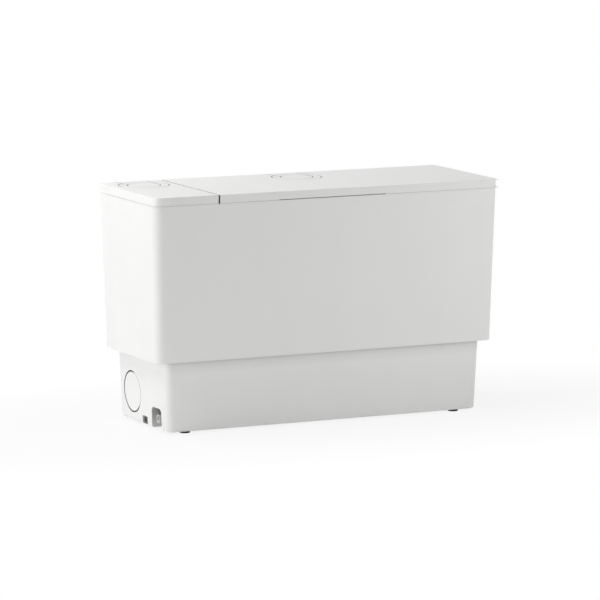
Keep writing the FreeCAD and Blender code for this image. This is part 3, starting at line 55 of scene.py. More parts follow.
# %% [markdown]
# ## Building materials from nodes
# A material is a small network of nodes. Writing each node by hand takes many lines, so one helper adds a node,
# fills its sockets, and returns it. A value that is itself a socket is linked instead of copied.

# %% Helpers for node networks
MM = 0.001


def add_node(tree, kind, inputs=(), **settings):
    """Add one node, set its properties, and fill or link the named or numbered sockets."""
    made = tree.nodes.new(kind)
    for name, value in settings.items():
        setattr(made, name, value)
    for name, value in dict(inputs).items():
        if isinstance(value, bpy.types.NodeSocket):
            tree.links.new(value, made.inputs[name])
        else:
            made.inputs[name].default_value = value
    return made


def new_group(name, kind, inputs, outputs):
    """An empty node group with typed sockets; returns the tree and its input and output nodes."""
    tree = bpy.data.node_groups.new(name, kind)
    for label, socket, default in inputs:
        made = tree.interface.new_socket(label, in_out="INPUT", socket_type=socket)
        if default is not None:
            made.default_value = default
    for label, socket in outputs:
        tree.interface.new_socket(label, in_out="OUTPUT", socket_type=socket)
    return tree, tree.nodes.new("NodeGroupInput"), tree.nodes.new("NodeGroupOutput")


def maths(tree, operation, first, second=0.0):
    """One arithmetic step; returns its output."""
    made = add_node(tree, "ShaderNodeMath", {0: first, 1: second}, operation=operation)
    return made.outputs[0]


def spread(tree, value, low, high, start, end):
    """Carry a value from low..high to start..end, clamped; returns the output."""
    sizes = {"Value": value, "From Min": low, "From Max": high, "To Min": start, "To Max": end}
    return add_node(tree, "ShaderNodeMapRange", sizes).outputs["Result"]


print("helpers ready")

# %% [markdown]
# ## Effects that several finishes share
# Moulded plastic carries the fine spark-eroded texture of its steel mould, and its gloss drifts a little where
# hands and cleaning have been. Both effects are node groups, built once, so that each material only sets how
# fine and how strong they are. They read object coordinates, so the pattern stays put when a lid is lifted.

# %% The mould's texture
def make_mould_grain():
    """Fine grain on slow waves: a height for bump, and a shade that drifts over the piece."""
    tree, given, result = new_group(
        "mould_grain", "ShaderNodeTree",
        (("Grains per metre", "NodeSocketFloat", 900.0), ("Waviness", "NodeSocketFloat", 0.35)),
        (("Height", "NodeSocketFloat"), ("Shade", "NodeSocketFloat")),
    )
    place = add_node(tree, "ShaderNodeTexCoord").outputs["Object"]
    fine = add_node(tree, "ShaderNodeTexNoise",
                    {"Vector": place, "Scale": given.outputs["Grains per metre"], "Detail": 2.0})
    cells = add_node(tree, "ShaderNodeTexVoronoi",
                     {"Vector": place, "Scale": given.outputs["Grains per metre"]}, feature="SMOOTH_F1")
    slow = add_node(tree, "ShaderNodeTexNoise", {"Vector": place, "Scale": 9.0, "Detail": 3.0})
    grain = maths(tree, "MULTIPLY", fine.outputs["Fac"], cells.outputs["Distance"])
    wave = maths(tree, "MULTIPLY", slow.outputs["Fac"], given.outputs["Waviness"])
    tree.links.new(maths(tree, "ADD", grain, wave), result.inputs["Height"])
    tree.links.new(slow.outputs["Fac"], result.inputs["Shade"])
    return tree


# %% Handling marks and settled dust
def make_handling():
    """Masks for worn patches and for dust that lies on faces that look up."""
    tree, given, result = new_group(
        "handling", "ShaderNodeTree",
        (("Patches per metre", "NodeSocketFloat", 14.0), ("Amount", "NodeSocketFloat", 0.5)),
        (("Worn", "NodeSocketFloat"), ("Dust", "NodeSocketFloat")),
    )
    place = add_node(tree, "ShaderNodeTexCoord").outputs["Object"]
    patches = add_node(tree, "ShaderNodeTexNoise",
                       {"Vector": place, "Scale": given.outputs["Patches per metre"], "Detail": 5.0})
    stretched = add_node(tree, "ShaderNodeMapping", {"Vector": place, "Scale": (35.0, 35.0, 6.0)})
    streaks = add_node(tree, "ShaderNodeTexNoise",
                       {"Vector": stretched.outputs[0], "Scale": 1.0, "Detail": 2.0})
    both = maths(tree, "MULTIPLY", patches.outputs["Fac"], streaks.outputs["Fac"])
    worn = spread(tree, both, 0.18, 0.42, 0.0, 1.0)
    tree.links.new(maths(tree, "MULTIPLY", worn, given.outputs["Amount"]), result.inputs["Worn"])
    facing = add_node(tree, "ShaderNodeNewGeometry").outputs["Normal"]
    upward = add_node(tree, "ShaderNodeSeparateXYZ", {0: facing}).outputs["Z"]
    lies = spread(tree, upward, 0.5, 1.0, 0.0, 1.0)
    speckle = add_node(tree, "ShaderNodeTexNoise", {"Vector": place, "Scale": 420.0, "Detail": 2.0})
    specks = spread(tree, speckle.outputs["Fac"], 0.45, 0.75, 0.0, 1.0)
    dust = maths(tree, "MULTIPLY", maths(tree, "MULTIPLY", lies, specks), given.outputs["Amount"])
    tree.links.new(dust, result.inputs["Dust"])
    return tree


# %% Brushing and turning marks on metal
def make_tool_marks():
    """Fine lines drawn out along one direction, and a slow change of tint."""
    tree, given, result = new_group(
        "tool_marks", "ShaderNodeTree",
        (("Stretch", "NodeSocketVector", (60.0, 60.0, 2500.0)),),
        (("Lines", "NodeSocketFloat"), ("Tint", "NodeSocketFloat")),
    )
    place = add_node(tree, "ShaderNodeTexCoord").outputs["Object"]
    stretched = add_node(tree, "ShaderNodeMapping", {"Vector": place, "Scale": given.outputs["Stretch"]})
    lines = add_node(tree, "ShaderNodeTexNoise", {"Vector": stretched.outputs[0], "Scale": 1.0, "Detail": 3.0})
    slow = add_node(tree, "ShaderNodeTexNoise", {"Vector": place, "Scale": 45.0, "Detail": 3.0})
    tree.links.new(lines.outputs["Fac"], result.inputs["Lines"])
    tree.links.new(slow.outputs["Fac"], result.inputs["Tint"])
    return tree


# %% [markdown]
# ## Painted shade in grooves and under the overhang
# The lines on the lids are grooves of about a millimetre, which is narrower than two pixels of the picture. A
# fourth group paints shade into the base colour of them, of the gaps round the lids, of the drain's recess and of
# the strip under the overhang. It finds each of them by its place on the part, with masks that are 1 inside a
# band and fade to 0 beside it.

# %% Masks
def band(tree, value, middle, half, soft=0.2 * MM):
    """1 where a value lies within half of the middle, fading to 0 over the soft width."""
    away = maths(tree, "ABSOLUTE", maths(tree, "SUBTRACT", value, middle))
    return spread(tree, away, half, half + soft, 1.0, 0.0)


def every(tree, *masks):
    """The overlap of several masks."""
    made = masks[0]
    for mask in masks[1:]:
        made = maths(tree, "MULTIPLY", made, mask)
    return made


def either(tree, *masks):
    """The strongest of several masks."""
    made = masks[0]
    for mask in masks[1:]:
        made = maths(tree, "MAXIMUM", made, mask)
    return made


def length_of(tree, first, second):
    """Length of the flat vector with these two parts."""
    flat = add_node(tree, "ShaderNodeCombineXYZ", {"X": first, "Y": second}).outputs[0]
    return add_node(tree, "ShaderNodeVectorMath", {0: flat}, operation="LENGTH").outputs["Value"]


# %% Painted shade in the rings and lines on the lids
RING_PLACES = ((-0.203, 0.04835), (0.0184, 0.04635))
RING_RADII = (21.9 * MM, 33.5 * MM)
LID_TOP = 312.5 * MM
GROOVE_HALF = 0.8 * MM
GROOVE_LOW, GROOVE_HIGH = LID_TOP - 2.2 * MM, LID_TOP - 0.4 * MM
GROOVE_FADE = 0.3 * MM


def lid_groove_shade(tree, x, y, z):
    """Painted shade in the knock-out rings of both lids and in the two lines that run back from each small ring."""
    inside = every(tree, spread(tree, z, GROOVE_HIGH, GROOVE_HIGH + GROOVE_FADE, 1.0, 0.0),
                   spread(tree, z, GROOVE_LOW, GROOVE_LOW + GROOVE_FADE, 0.0, 1.0))
    masks = []
    for ring_x, ring_y in RING_PLACES:
        across = maths(tree, "SUBTRACT", x, ring_x)
        back = maths(tree, "SUBTRACT", y, ring_y)
        around = length_of(tree, across, back)
        masks += [band(tree, around, radius, GROOVE_HALF) for radius in RING_RADII]
        beside = band(tree, maths(tree, "ABSOLUTE", across), RING_RADII[0], GROOVE_HALF)
        masks.append(every(tree, beside, spread(tree, back, 0.0, 0.2 * MM, 0.0, 1.0)))
    return every(tree, either(tree, *masks), inside)


# %% Painted shade in the gaps round the lids
SEAM = 301.0 * MM
SEAM_STRENGTH = 0.7
SPLIT, SPLIT_HALF = -158.5 * MM, 0.95 * MM
LID_HALF_X, LID_HALF_Y = 248.7 * MM, 92.2 * MM
GRIP_MIDDLE, GRIP_HALF = 4.3 * MM, 77.1 * MM
GRIP_FRONT = -90.0 * MM


def lid_gap_shade(tree, x, y, z):
    """Painted shade in the split between the lids, along the seam under them and in the finger slot."""
    split = every(tree, band(tree, x, SPLIT, SPLIT_HALF), spread(tree, z, SEAM - 0.5 * MM, SEAM, 0.0, 1.0))
    side = maths(tree, "SUBTRACT", maths(tree, "ABSOLUTE", x), LID_HALF_X)
    face = maths(tree, "SUBTRACT", maths(tree, "ABSOLUTE", y), LID_HALF_Y)
    outer = spread(tree, maths(tree, "MAXIMUM", side, face), -0.1 * MM, 0.1 * MM, 0.0, 1.0)
    seam = every(tree, band(tree, z, SEAM + 0.2 * MM, 0.13 * MM, 0.03 * MM), outer)
    seam = maths(tree, "MULTIPLY", seam, SEAM_STRENGTH)
    slot = every(tree, band(tree, x, GRIP_MIDDLE, GRIP_HALF),
                 band(tree, z, SEAM + 0.5 * MM, 0.4 * MM, 0.05 * MM),
                 spread(tree, y, GRIP_FRONT, GRIP_FRONT + 0.5 * MM, 1.0, 0.0))
    return either(tree, split, seam, slot)


# %% Painted shade on the end wall and in the strip under the overhang
SIDE_RING_Y, SIDE_RING_Z, SIDE_RING_RADIUS = 34.35 * MM, 41.6 * MM, 27.0 * MM
LEE_Y, LEE_Z = 0.94, -0.34
END_FACE = -223.8 * MM
RECESS_X, RECESS_HALF_X = -214.3 * MM, 11.0 * MM
RECESS_Y, RECESS_HALF_Y = -42.15 * MM, 15.6 * MM
RECESS_TOP = 31.2 * MM
STEP_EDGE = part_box("housing")[0][2]


def side_ring_shade(tree, x, y, z):
    """The groove round the side inlet's blank, dark on the side that the light doesn't reach."""
    across = maths(tree, "SUBTRACT", y, SIDE_RING_Y)
    upright = maths(tree, "SUBTRACT", z, SIDE_RING_Z)
    around = length_of(tree, across, upright)
    lee = maths(tree, "ADD", maths(tree, "MULTIPLY", across, LEE_Y), maths(tree, "MULTIPLY", upright, LEE_Z))
    facing = spread(tree, maths(tree, "DIVIDE", lee, around), -0.6, -0.35, 0.0, 1.0)
    return every(tree, band(tree, around, SIDE_RING_RADIUS, 0.95 * MM), facing,
                 spread(tree, x, END_FACE, END_FACE + 0.4 * MM, 1.0, 0.0))


def recess_shade(tree, x, y, z):
    """Painted shade in the drain's recess, darker towards its top and its far end."""
    deeper = every(tree, spread(tree, x, -219.0 * MM, -211.0 * MM, 0.0, 0.5),
                   spread(tree, z, 11.0 * MM, 17.0 * MM, 0.0, 1.0))
    darkness = maths(tree, "ADD", spread(tree, z, 8 * MM, 31 * MM, 0.16, 0.55), deeper)
    return every(tree, band(tree, y, RECESS_Y, RECESS_HALF_Y), band(tree, x, RECESS_X, RECESS_HALF_X),
                 spread(tree, z, RECESS_TOP, RECESS_TOP + 0.4 * MM, 1.0, 0.0), darkness)


def step_shade(tree, y, z):
    """The shade that the overhang leaves on the tank: a dark strip 4 mm high in a pale one of 18 mm."""
    under = maths(tree, "SUBTRACT", STEP_EDGE, z)
    near = spread(tree, under, 0.0, 4.0 * MM, 0.18, 0.0)
    far = spread(tree, under, 0.0, 18.0 * MM, 0.15, 0.0)
    below = spread(tree, under, 0.0, 0.05 * MM, 0.0, 1.0)
    flank = spread(tree, maths(tree, "ABSOLUTE", y), 78.0 * MM, 81.0 * MM, 0.25, 1.0)
    return every(tree, maths(tree, "ADD", near, far), below, flank)


# %% The shade as one group
def make_groove_shade():
    """One mask of painted shade for everything above, times an amount."""
    tree, given, result = new_group("groove_shade", "ShaderNodeTree", (("Amount", "NodeSocketFloat", 1.0),),
                                    (("Shade", "NodeSocketFloat"),))
    place = add_node(tree, "ShaderNodeTexCoord").outputs["Object"]
    x, y, z = add_node(tree, "ShaderNodeSeparateXYZ", {0: place}).outputs
    shade = either(tree, lid_groove_shade(tree, x, y, z), lid_gap_shade(tree, x, y, z), side_ring_shade(tree, x, y, z),
                   recess_shade(tree, x, y, z), step_shade(tree, y, z))
    tree.links.new(maths(tree, "MULTIPLY", shade, given.outputs["Amount"]), result.inputs["Shade"])
    return tree


MOULD_GRAIN = make_mould_grain()
HANDLING = make_handling()
TOOL_MARKS = make_tool_marks()
GROOVE_SHADE = make_groove_shade()
print("shared effects:", [group.name for group in (MOULD_GRAIN, HANDLING, TOOL_MARKS, GROOVE_SHADE)])

# %% [markdown]
# ## The finishes
# Two recipes cover every piece: one for moulded plastic and rubber, one for metal. Colours are written as they
# would look on screen and turned into the linear values that the renderer needs.

# %% Colour helpers
def screen(red, green, blue):
    """A screen colour, 0 to 255, as a linear colour with alpha."""
    def line(value):
        share = value / 255
        return share / 12.92 if share <= 0.04045 else ((share + 0.055) / 1.055) ** 2.4
    return (line(red), line(green), line(blue), 1.0)


def mixed(tree, factor, first, second):
    """Blend two colours by a mask; returns the colour output."""
    made = add_node(tree, "ShaderNodeMix", {0: factor, 6: first, 7: second}, data_type="RGBA")
    return made.outputs[2]


def new_material(name, **plain):
    """A material with one Principled shader whose plain numbers sit on its own sockets."""
    material = bpy.data.materials.new(name)
    material.use_nodes = True
    shader = material.node_tree.nodes["Principled BSDF"]
    for label, value in plain.items():
        shader.inputs[label.replace("_", " ")].default_value = value
    return material, material.node_tree, shader


# %% Moulded plastic and rubber
DUST_COLOUR = screen(176, 172, 165)
SHADE_COLOUR = screen(64, 64, 66)


def make_moulded(name, colour, worn_colour, gloss, grain=900.0, depth=0.00002, soil=0.5, groove=0.0, **plain):
    """Moulded finish: colour drifts to worn_colour, gloss is (smoothest, roughest), groove is the amount of painted
    shade.
    """
    material, tree, shader = new_material(name, **plain)
    texture = add_node(tree, "ShaderNodeGroup", {"Grains per metre": grain}, node_tree=MOULD_GRAIN)
    marks = add_node(tree, "ShaderNodeGroup", {"Amount": soil}, node_tree=HANDLING)
    base = mixed(tree, marks.outputs["Worn"], colour, worn_colour)
    base = mixed(tree, maths(tree, "MULTIPLY", marks.outputs["Dust"], 0.35), base, DUST_COLOUR)
    # Painted shade: the groove_shade mask darkens the base colour towards SHADE_COLOUR in grooves, gaps, the recess
    # and under the overhang.
    if groove:
        shade = add_node(tree, "ShaderNodeGroup", {"Amount": groove}, node_tree=GROOVE_SHADE)
        base = mixed(tree, shade.outputs["Shade"], base, SHADE_COLOUR)
    tree.links.new(base, shader.inputs["Base Color"])
    uneven = maths(tree, "ADD", texture.outputs["Shade"], marks.outputs["Worn"])
    tree.links.new(spread(tree, uneven, 0.3, 1.2, *gloss), shader.inputs["Roughness"])
    bump = add_node(tree, "ShaderNodeBump", {"Height": texture.outputs["Height"], "Strength": 0.6,
                                             "Distance": depth})
    tree.links.new(bump.outputs["Normal"], shader.inputs["Normal"])
    return material


# %% Bare and coated metal
def make_metal(name, colour, dull_colour, gloss, stretch, depth=0.00001, metallic=1.0):
    """Metal finish: brushed or turned lines along the short side of stretch."""
    material, tree, shader = new_material(name, Metallic=metallic)
    marks = add_node(tree, "ShaderNodeGroup", {"Stretch": stretch}, node_tree=TOOL_MARKS)
    base = mixed(tree, marks.outputs["Tint"], colour, dull_colour)
    tree.links.new(base, shader.inputs["Base Color"])
    tree.links.new(spread(tree, marks.outputs["Lines"], 0.3, 0.7, *gloss), shader.inputs["Roughness"])
    bump = add_node(tree, "ShaderNodeBump", {"Height": marks.outputs["Lines"], "Strength": 0.5,
                                             "Distance": depth})
    tree.links.new(bump.outputs["Normal"], shader.inputs["Normal"])
    return material


# %% One material for each slot of the record
ALONG_Z = (60.0, 60.0, 2500.0)
ALONG_X = (40.0, 1800.0, 1800.0)
FINISHES = {
    # The white shell gets the painted shade of groove_shade through groove=0.95.
    "white_shell": make_moulded("white shell plastic", screen(243, 243, 242), screen(238, 238, 236),
                                (0.38, 0.50), grain=1400.0, depth=0.000012, soil=0.2, groove=0.95),
    "black_rubber": make_moulded("black rubber", screen(34, 34, 35), screen(58, 57, 55), (0.62, 0.85),
                                 grain=700.0, depth=0.00004, soil=0.7),
    "grey_plastic": make_moulded("grey pump plastic", screen(124, 126, 129), screen(108, 108, 106),
                                 (0.42, 0.62)),
    "dark_plastic": make_moulded("black box plastic", screen(44, 45, 47), screen(62, 61, 59), (0.38, 0.6)),
    "light_plastic": make_moulded("pale pipe plastic", screen(214, 215, 213), screen(196, 194, 188),
                                  (0.34, 0.55)),
    "steel": make_metal("stainless steel", screen(196, 197, 199), screen(170, 171, 173), (0.18, 0.36),
                        ALONG_Z),
    "can_metal": make_metal("bare aluminium", screen(206, 207, 209), screen(176, 177, 180), (0.28, 0.5),
                            ALONG_X),
    "stack_iron": make_metal("laminated iron", screen(112, 112, 115), screen(84, 82, 80), (0.35, 0.6),
                             (30.0, 30.0, 2000.0), depth=0.00005),
    "copper": make_metal("varnished copper wire", screen(190, 112, 62), screen(150, 78, 44), (0.25, 0.45),
                         (700.0, 700.0, 700.0), depth=0.00008),
    "screw_steel": make_metal("zinc-plated steel", screen(205, 205, 200), screen(172, 173, 172),
                              (0.22, 0.4), (300.0, 300.0, 300.0)),
}
for entry in frame["record"]["subparts"]:
    solid = nodes[entry["node"]]
    solid.data.materials.clear()
    solid.data.materials.append(FINISHES[entry["material_slot"]])
gland_rubber = make_moulded("grey gland rubber", screen(112, 112, 113), screen(98, 98, 98), (0.6, 0.8),
                            grain=700.0, depth=0.00004)
nodes["cable_gland"].data.materials[0] = gland_rubber
print(len(FINISHES) + 1, "finishes on", len(nodes), "solids")

# %% [markdown]
# ## Softening the moulded edges
# No moulded or turned edge is perfectly sharp: a radius of a few tenths catches the light as a thin line. A
# small Geometry Nodes tree closes the seams between the CAD triangles and marks which edges stay sharp, a
# planar dissolve gives clean faces, and a Bevel modifier rounds the rest. The solids themselves stay as they are.

# %% A tree that closes seams and sets smooth shading
def make_seam_tree():
    """Merge the loose CAD triangles, smooth them, and keep the edges sharp that turn by more than an angle."""
    tree, given, result = new_group(
        "close_and_smooth", "GeometryNodeTree",
        (("Geometry", "NodeSocketGeometry", None), ("Sharp angle", "NodeSocketFloat", math.radians(30))),
        (("Geometry", "NodeSocketGeometry"),),
    )
    plain = add_node(tree, "GeometryNodeRemoveAttribute",
                     {"Geometry": given.outputs["Geometry"], "Name": "custom_normal"})
    closed = add_node(tree, "GeometryNodeMergeByDistance", {"Geometry": plain.outputs[0], "Distance": 0.000002})
    smooth = add_node(tree, "GeometryNodeSetShadeSmooth", {"Geometry": closed.outputs[0]})
    angle = add_node(tree, "GeometryNodeInputMeshEdgeAngle")
    sharp = add_node(tree, "FunctionNodeCompare",
                     {0: angle.outputs["Unsigned Angle"], 1: given.outputs["Sharp angle"]},
                     data_type="FLOAT", operation="GREATER_THAN")
    crisp = add_node(tree, "GeometryNodeSetShadeSmooth",
                     {"Geometry": smooth.outputs[0], "Selection": sharp.outputs[0], "Shade Smooth": False},
                     domain="EDGE")
    tree.links.new(crisp.outputs[0], result.inputs["Geometry"])
    return tree


SEAM_TREE = make_seam_tree()


FLAT_ANGLE = math.radians(0.3)
ROUNDED_ANGLE = math.radians(40)


def soften(solid, radius):
    """Close the seams of a CAD solid and round its edges by a small radius."""
    seams = solid.modifiers.new("close and smooth", "NODES")
    seams.node_group = SEAM_TREE
    flat = solid.modifiers.new("clean flats", "DECIMATE")
    flat.decimate_type = "DISSOLVE"
    flat.angle_limit = FLAT_ANGLE
    soften_edge(solid, radius)


def soften_edge(piece, radius):
    """Round every edge that turns by more than ROUNDED_ANGLE."""
    edge = piece.modifiers.new("edge radius", "BEVEL")
    edge.width = radius
    edge.segments = 2
    edge.limit_method = "ANGLE"
    edge.angle_limit = ROUNDED_ANGLE
    edge.harden_normals = True
    edge.use_clamp_overlap = True


EDGE_RADII = {"white_shell": 0.00015, "grey_plastic": 0.0004, "dark_plastic": 0.0005, "light_plastic": 0.0004,
              "black_rubber": 0.0003, "can_metal": 0.0003, "steel": 0.0002}
for entry in frame["record"]["subparts"]:
    radius = EDGE_RADII.get(entry["material_slot"])
    if radius:
        soften(nodes[entry["node"]], radius)
print("edges softened")

# %% [markdown]
# ## Reading places from the solids
# A node can hold several separate solids, such as the eight screws of the housing. Finding its islands gives
# each one's corners, so a made piece sits exactly where the CAD put it and no place is typed twice.

# %% Islands of a node
def islands(node):
    """Lowest and highest corner of each separate solid in a node."""
    source = bmesh.new()
    source.from_mesh(nodes[node].data)
    bmesh.ops.remove_doubles(source, verts=source.verts, dist=0.002 * MM)
    waiting = set(source.verts)
    found = []
    while waiting:
        front = [waiting.pop()]
        spots = []
        while front:
            vertex = front.pop()
            spots.append(vertex.co.copy())
            near = {edge.other_vert(vertex) for edge in vertex.link_edges} & waiting
            waiting -= near
            front.extend(near)
        low = Vector(min(spot[axis] for spot in spots) for axis in range(3))
        high = Vector(max(spot[axis] for spot in spots) for axis in range(3))
        found.append((low, high))
    source.free()
    return sorted(found, key=lambda corners: tuple(corners[0]))


def node_box(node):
    """A node's corners as vectors."""
    low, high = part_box(node)
    return Vector(low), Vector(high)


def foot_of(low, high):
    """Middle of a box's underside."""
    return Vector(((low.x + high.x) / 2, (low.y + high.y) / 2, low.z))


SLOT_OF = {entry["node"]: entry["material_slot"] for entry in frame["record"]["subparts"]}
print("screws in the housing:", len(islands("housing_screws")))

# %% [markdown]
# ## Turned shapes
# Feet, rings, caps and cans are all bodies of revolution. A profile of radius and height points is enough to
# describe each: the function below turns it about an axis, all the way round or over an arc with closed ends.

# %% A lathe
TURN = 2 * math.pi
UPRIGHT = Matrix.Identity(3)
TOWARDS_BACK = Matrix(((1, 0, 0), (0, 0, 1), (0, -1, 0)))


def lathe(shape, profile, centre, steps=64, arc=(0.0, TURN), facing=UPRIGHT):
    """Turn a closed profile of (radius, height) about an axis through centre and add it to a bmesh."""
    whole = abs(arc[1] - arc[0] - TURN) < 1e-6
    turns = steps if whole else steps + 1
    rings = []
    for number in range(turns):
        angle = arc[0] + (arc[1] - arc[0]) * number / steps
        ring = [shape.verts.new(Vector(centre) + facing @ Vector((radius * math.cos(angle),
                                                                   radius * math.sin(angle), height)))
                for radius, height in profile]
        rings.append(ring)
    count = len(profile)
    for number in range(steps):
        here, there = rings[number], rings[(number + 1) % turns]
        for first in range(count):
            second = (first + 1) % count
            corners = [here[first], there[first], there[second], here[second]]
            if profile[first][0] == 0 and profile[second][0] == 0:
                continue
            shape.faces.new(corners)
    if not whole:
        shape.faces.new(rings[0])
        shape.faces.new(list(reversed(rings[-1])))


def bridge(shape, here, there):
    """Join two loops of equally many corners by a band of faces."""
    for number in range(len(here)):
        after = (number + 1) % len(here)
        shape.faces.new((here[number], here[after], there[after], there[number]))


def rounded_profile(corners, radius, steps=3):
    """Round every corner of a profile that lies off the axis by a small radius."""
    made = []
    count = len(corners)
    for number, corner in enumerate(corners):
        here = Vector(corner)
        before = Vector(corners[number - 1]) - here
        after = Vector(corners[(number + 1) % count]) - here
        reach = min(radius, before.length * 0.45, after.length * 0.45)
        if corner[0] == 0 or reach <= 0:
            made.append(tuple(corner))
            continue
        start = here + before.normalized() * reach
        end = here + after.normalized() * reach
        for step in range(steps + 1):
            share = step / steps
            bend = start * (1 - share) ** 2 + here * 2 * share * (1 - share) + end * share ** 2
            made.append((bend.x, bend.y))
    return made


# %% From a bmesh to a finished piece
def finish_piece(name, shape, stands_for=(), body="unit", slot=None, sharp=35):
    """Close, smooth and paint a shape, and hide the CAD nodes that it stands for."""
    bmesh.ops.remove_doubles(shape, verts=shape.verts, dist=0.001 * MM)
    bmesh.ops.dissolve_degenerate(shape, edges=shape.edges, dist=0.001 * MM)
    bmesh.ops.recalc_face_normals(shape, faces=shape.faces)
    mesh = bpy.data.meshes.new(name)
    shape.to_mesh(mesh)
    shape.free()
    mesh.shade_smooth()
    mesh.set_sharp_from_angle(angle=math.radians(sharp))
    return settle(name, mesh, stands_for, body, slot)


def settle(name, mesh, stands_for=(), body="unit", slot=None):
    """Give a mesh its object, finish and body, and hide the nodes that it stands for."""
    piece = bpy.data.objects.new(name, mesh)
    bpy.context.scene.collection.objects.link(piece)
    slot = slot or SLOT_OF[stands_for[0]]
    mesh.materials.clear()
    mesh.materials.append(FINISHES[slot])
    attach(piece, body)
    if stands_for:
        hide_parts(*stands_for)
    return piece


# %% [markdown]
# ## Feet
# Each foot is a turned rubber pad: a flat tread with one groove, a soft outer edge and a stud that snaps into
# the tank. The groove and edge show as a dark line under the front, which is all that the camera sees of them.

# %% The four feet
def make_foot(node):
    """Pad with a groove in its tread, and the stud above it."""
    low, high = node_box(node)
    radius = (high.x - low.x) / 2
    rise = 3 * MM
    stud = 3 * MM
    centre = foot_of(low, high)
    shape = bmesh.new()
    tread = [(0, 0), (radius * 0.5, 0), (radius * 0.55, 0.6 * MM), (radius * 0.65, 0.6 * MM), (radius * 0.7, 0),
             (radius * 0.94, 0), (radius, 0.7 * MM), (radius, rise), (stud, rise), (stud, high.z - low.z),
             (0, high.z - low.z)]
    lathe(shape, rounded_profile(tread, 0.3 * MM), centre, steps=40)
    finish_piece(f"{node}_pad", shape, [node])


for foot in ("foot_front_left", "foot_back_left", "foot_front_right", "foot_back_right"):
    make_foot(foot)
print("feet made")

# %% [markdown]
# ## Screws
# All screws are copies of one hexagonal head with a cross recess, so each set is grown by Geometry Nodes: a
# template is placed on points and turned by a random angle, as a fitter leaves them.

# %% One screw
def make_screw_template(name, head_radius, head_rise, shank_radius, length):
    """A screw with its head's underside at the origin."""
    shape = bmesh.new()
    flange = 0.35 * MM
    shoulder = head_rise * 0.72

    def hexagon(share, height):
        return [shape.verts.new((head_radius * share * math.cos(TURN * k / 6),
                                 head_radius * share * math.sin(TURN * k / 6), height)) for k in range(6)]

    for start, end, low, high in ((0.90, 0.90, flange, shoulder), (0.90, 0.76, shoulder, head_rise)):
        lower, upper = hexagon(start, low), hexagon(end, high)
        bridge(shape, lower, upper)
    width = head_radius * 0.14
    reach = head_radius * 0.5
    cross = [(reach, -width), (reach, width), (width, width), (width, reach), (-width, reach), (-width, width),
             (-reach, width), (-reach, -width), (-width, -width), (-width, -reach), (width, -reach),
             (width, -width)]
    lip = [shape.verts.new((x, y, head_rise)) for x, y in cross]
    well = [shape.verts.new((x * 0.8, y * 0.8, head_rise * 0.35)) for x, y in cross]
    count = len(cross)
    rim_edges = [shape.edges.new((lip[k], lip[(k + 1) % count])) for k in range(count)]
    bridge(shape, lip, well)
    shape.faces.new(well)
    outer_edges = [shape.edges.get((upper[k], upper[(k + 1) % 6])) for k in range(6)]
    bmesh.ops.triangle_fill(shape, edges=rim_edges + outer_edges, use_beauty=True)
    pitch = 0.8 * MM
    thread = [(0, flange), (head_radius, flange), (head_radius, 0), (shank_radius * 0.85, 0)]
    depth = 0.0
    while depth > -length + pitch:
        thread += [(shank_radius, depth - pitch / 2), (shank_radius * 0.85, depth - pitch)]
        depth -= pitch
    thread += [(0, -length)]
    lathe(shape, thread, (0, 0, 0), steps=18)
    bmesh.ops.remove_doubles(shape, verts=shape.verts, dist=0.001 * MM)
    bmesh.ops.recalc_face_normals(shape, faces=shape.faces)
    mesh = bpy.data.meshes.new(name)
    shape.to_mesh(mesh)
    shape.free()
    template = bpy.data.objects.new(name, mesh)
    bpy.context.scene.collection.objects.link(template)
    return template


# %% A tree that places a template on points
def make_placing_tree():
    """Copies of a template on every point, each turned by a random angle about Z."""
    tree, given, result = new_group(
        "place_on_points", "GeometryNodeTree",
        (("Geometry", "NodeSocketGeometry", None), ("Template", "NodeSocketObject", None),
         ("Most turn", "NodeSocketFloat", TURN), ("Seed", "NodeSocketInt", 4),
         ("Finish", "NodeSocketMaterial", None)),
        (("Geometry", "NodeSocketGeometry"),),
    )
    shape = add_node(tree, "GeometryNodeObjectInfo", {"Object": given.outputs["Template"]})
    turn = add_node(tree, "FunctionNodeRandomValue",
                    {2: 0.0, 3: given.outputs["Most turn"], "Seed": given.outputs["Seed"]}, data_type="FLOAT")
    about = add_node(tree, "ShaderNodeCombineXYZ", {"Z": turn.outputs[1]})
    placed = add_node(tree, "GeometryNodeInstanceOnPoints",
                      {"Points": given.outputs["Geometry"], "Instance": shape.outputs["Geometry"],
                       "Rotation": about.outputs[0]})
    real = add_node(tree, "GeometryNodeRealizeInstances", {0: placed.outputs[0]})
    painted = add_node(tree, "GeometryNodeSetMaterial",
                       {"Geometry": real.outputs[0], "Material": given.outputs["Finish"]})
    tree.links.new(painted.outputs[0], result.inputs["Geometry"])
    return tree


PLACING_TREE = make_placing_tree()


def grow(name, points, tree, **values):
    """Run a Geometry Nodes tree on a set of points and return the result as a plain mesh."""
    mesh = bpy.data.meshes.new(name)
    mesh.from_pydata(points, [], [])
    seed_object = bpy.data.objects.new(name, mesh)
    bpy.context.scene.collection.objects.link(seed_object)
    growth = seed_object.modifiers.new("grow", "NODES")
    growth.node_group = tree
    for item in tree.interface.items_tree:
        label = item.name.replace(" ", "_").lower()
        if item.item_type == "SOCKET" and item.in_out == "INPUT" and label in values:
            growth[item.identifier] = values[label]
    made = bpy.data.meshes.new_from_object(seed_object.evaluated_get(bpy.context.evaluated_depsgraph_get()))
    bpy.data.objects.remove(seed_object)
    made.name = name
    return made


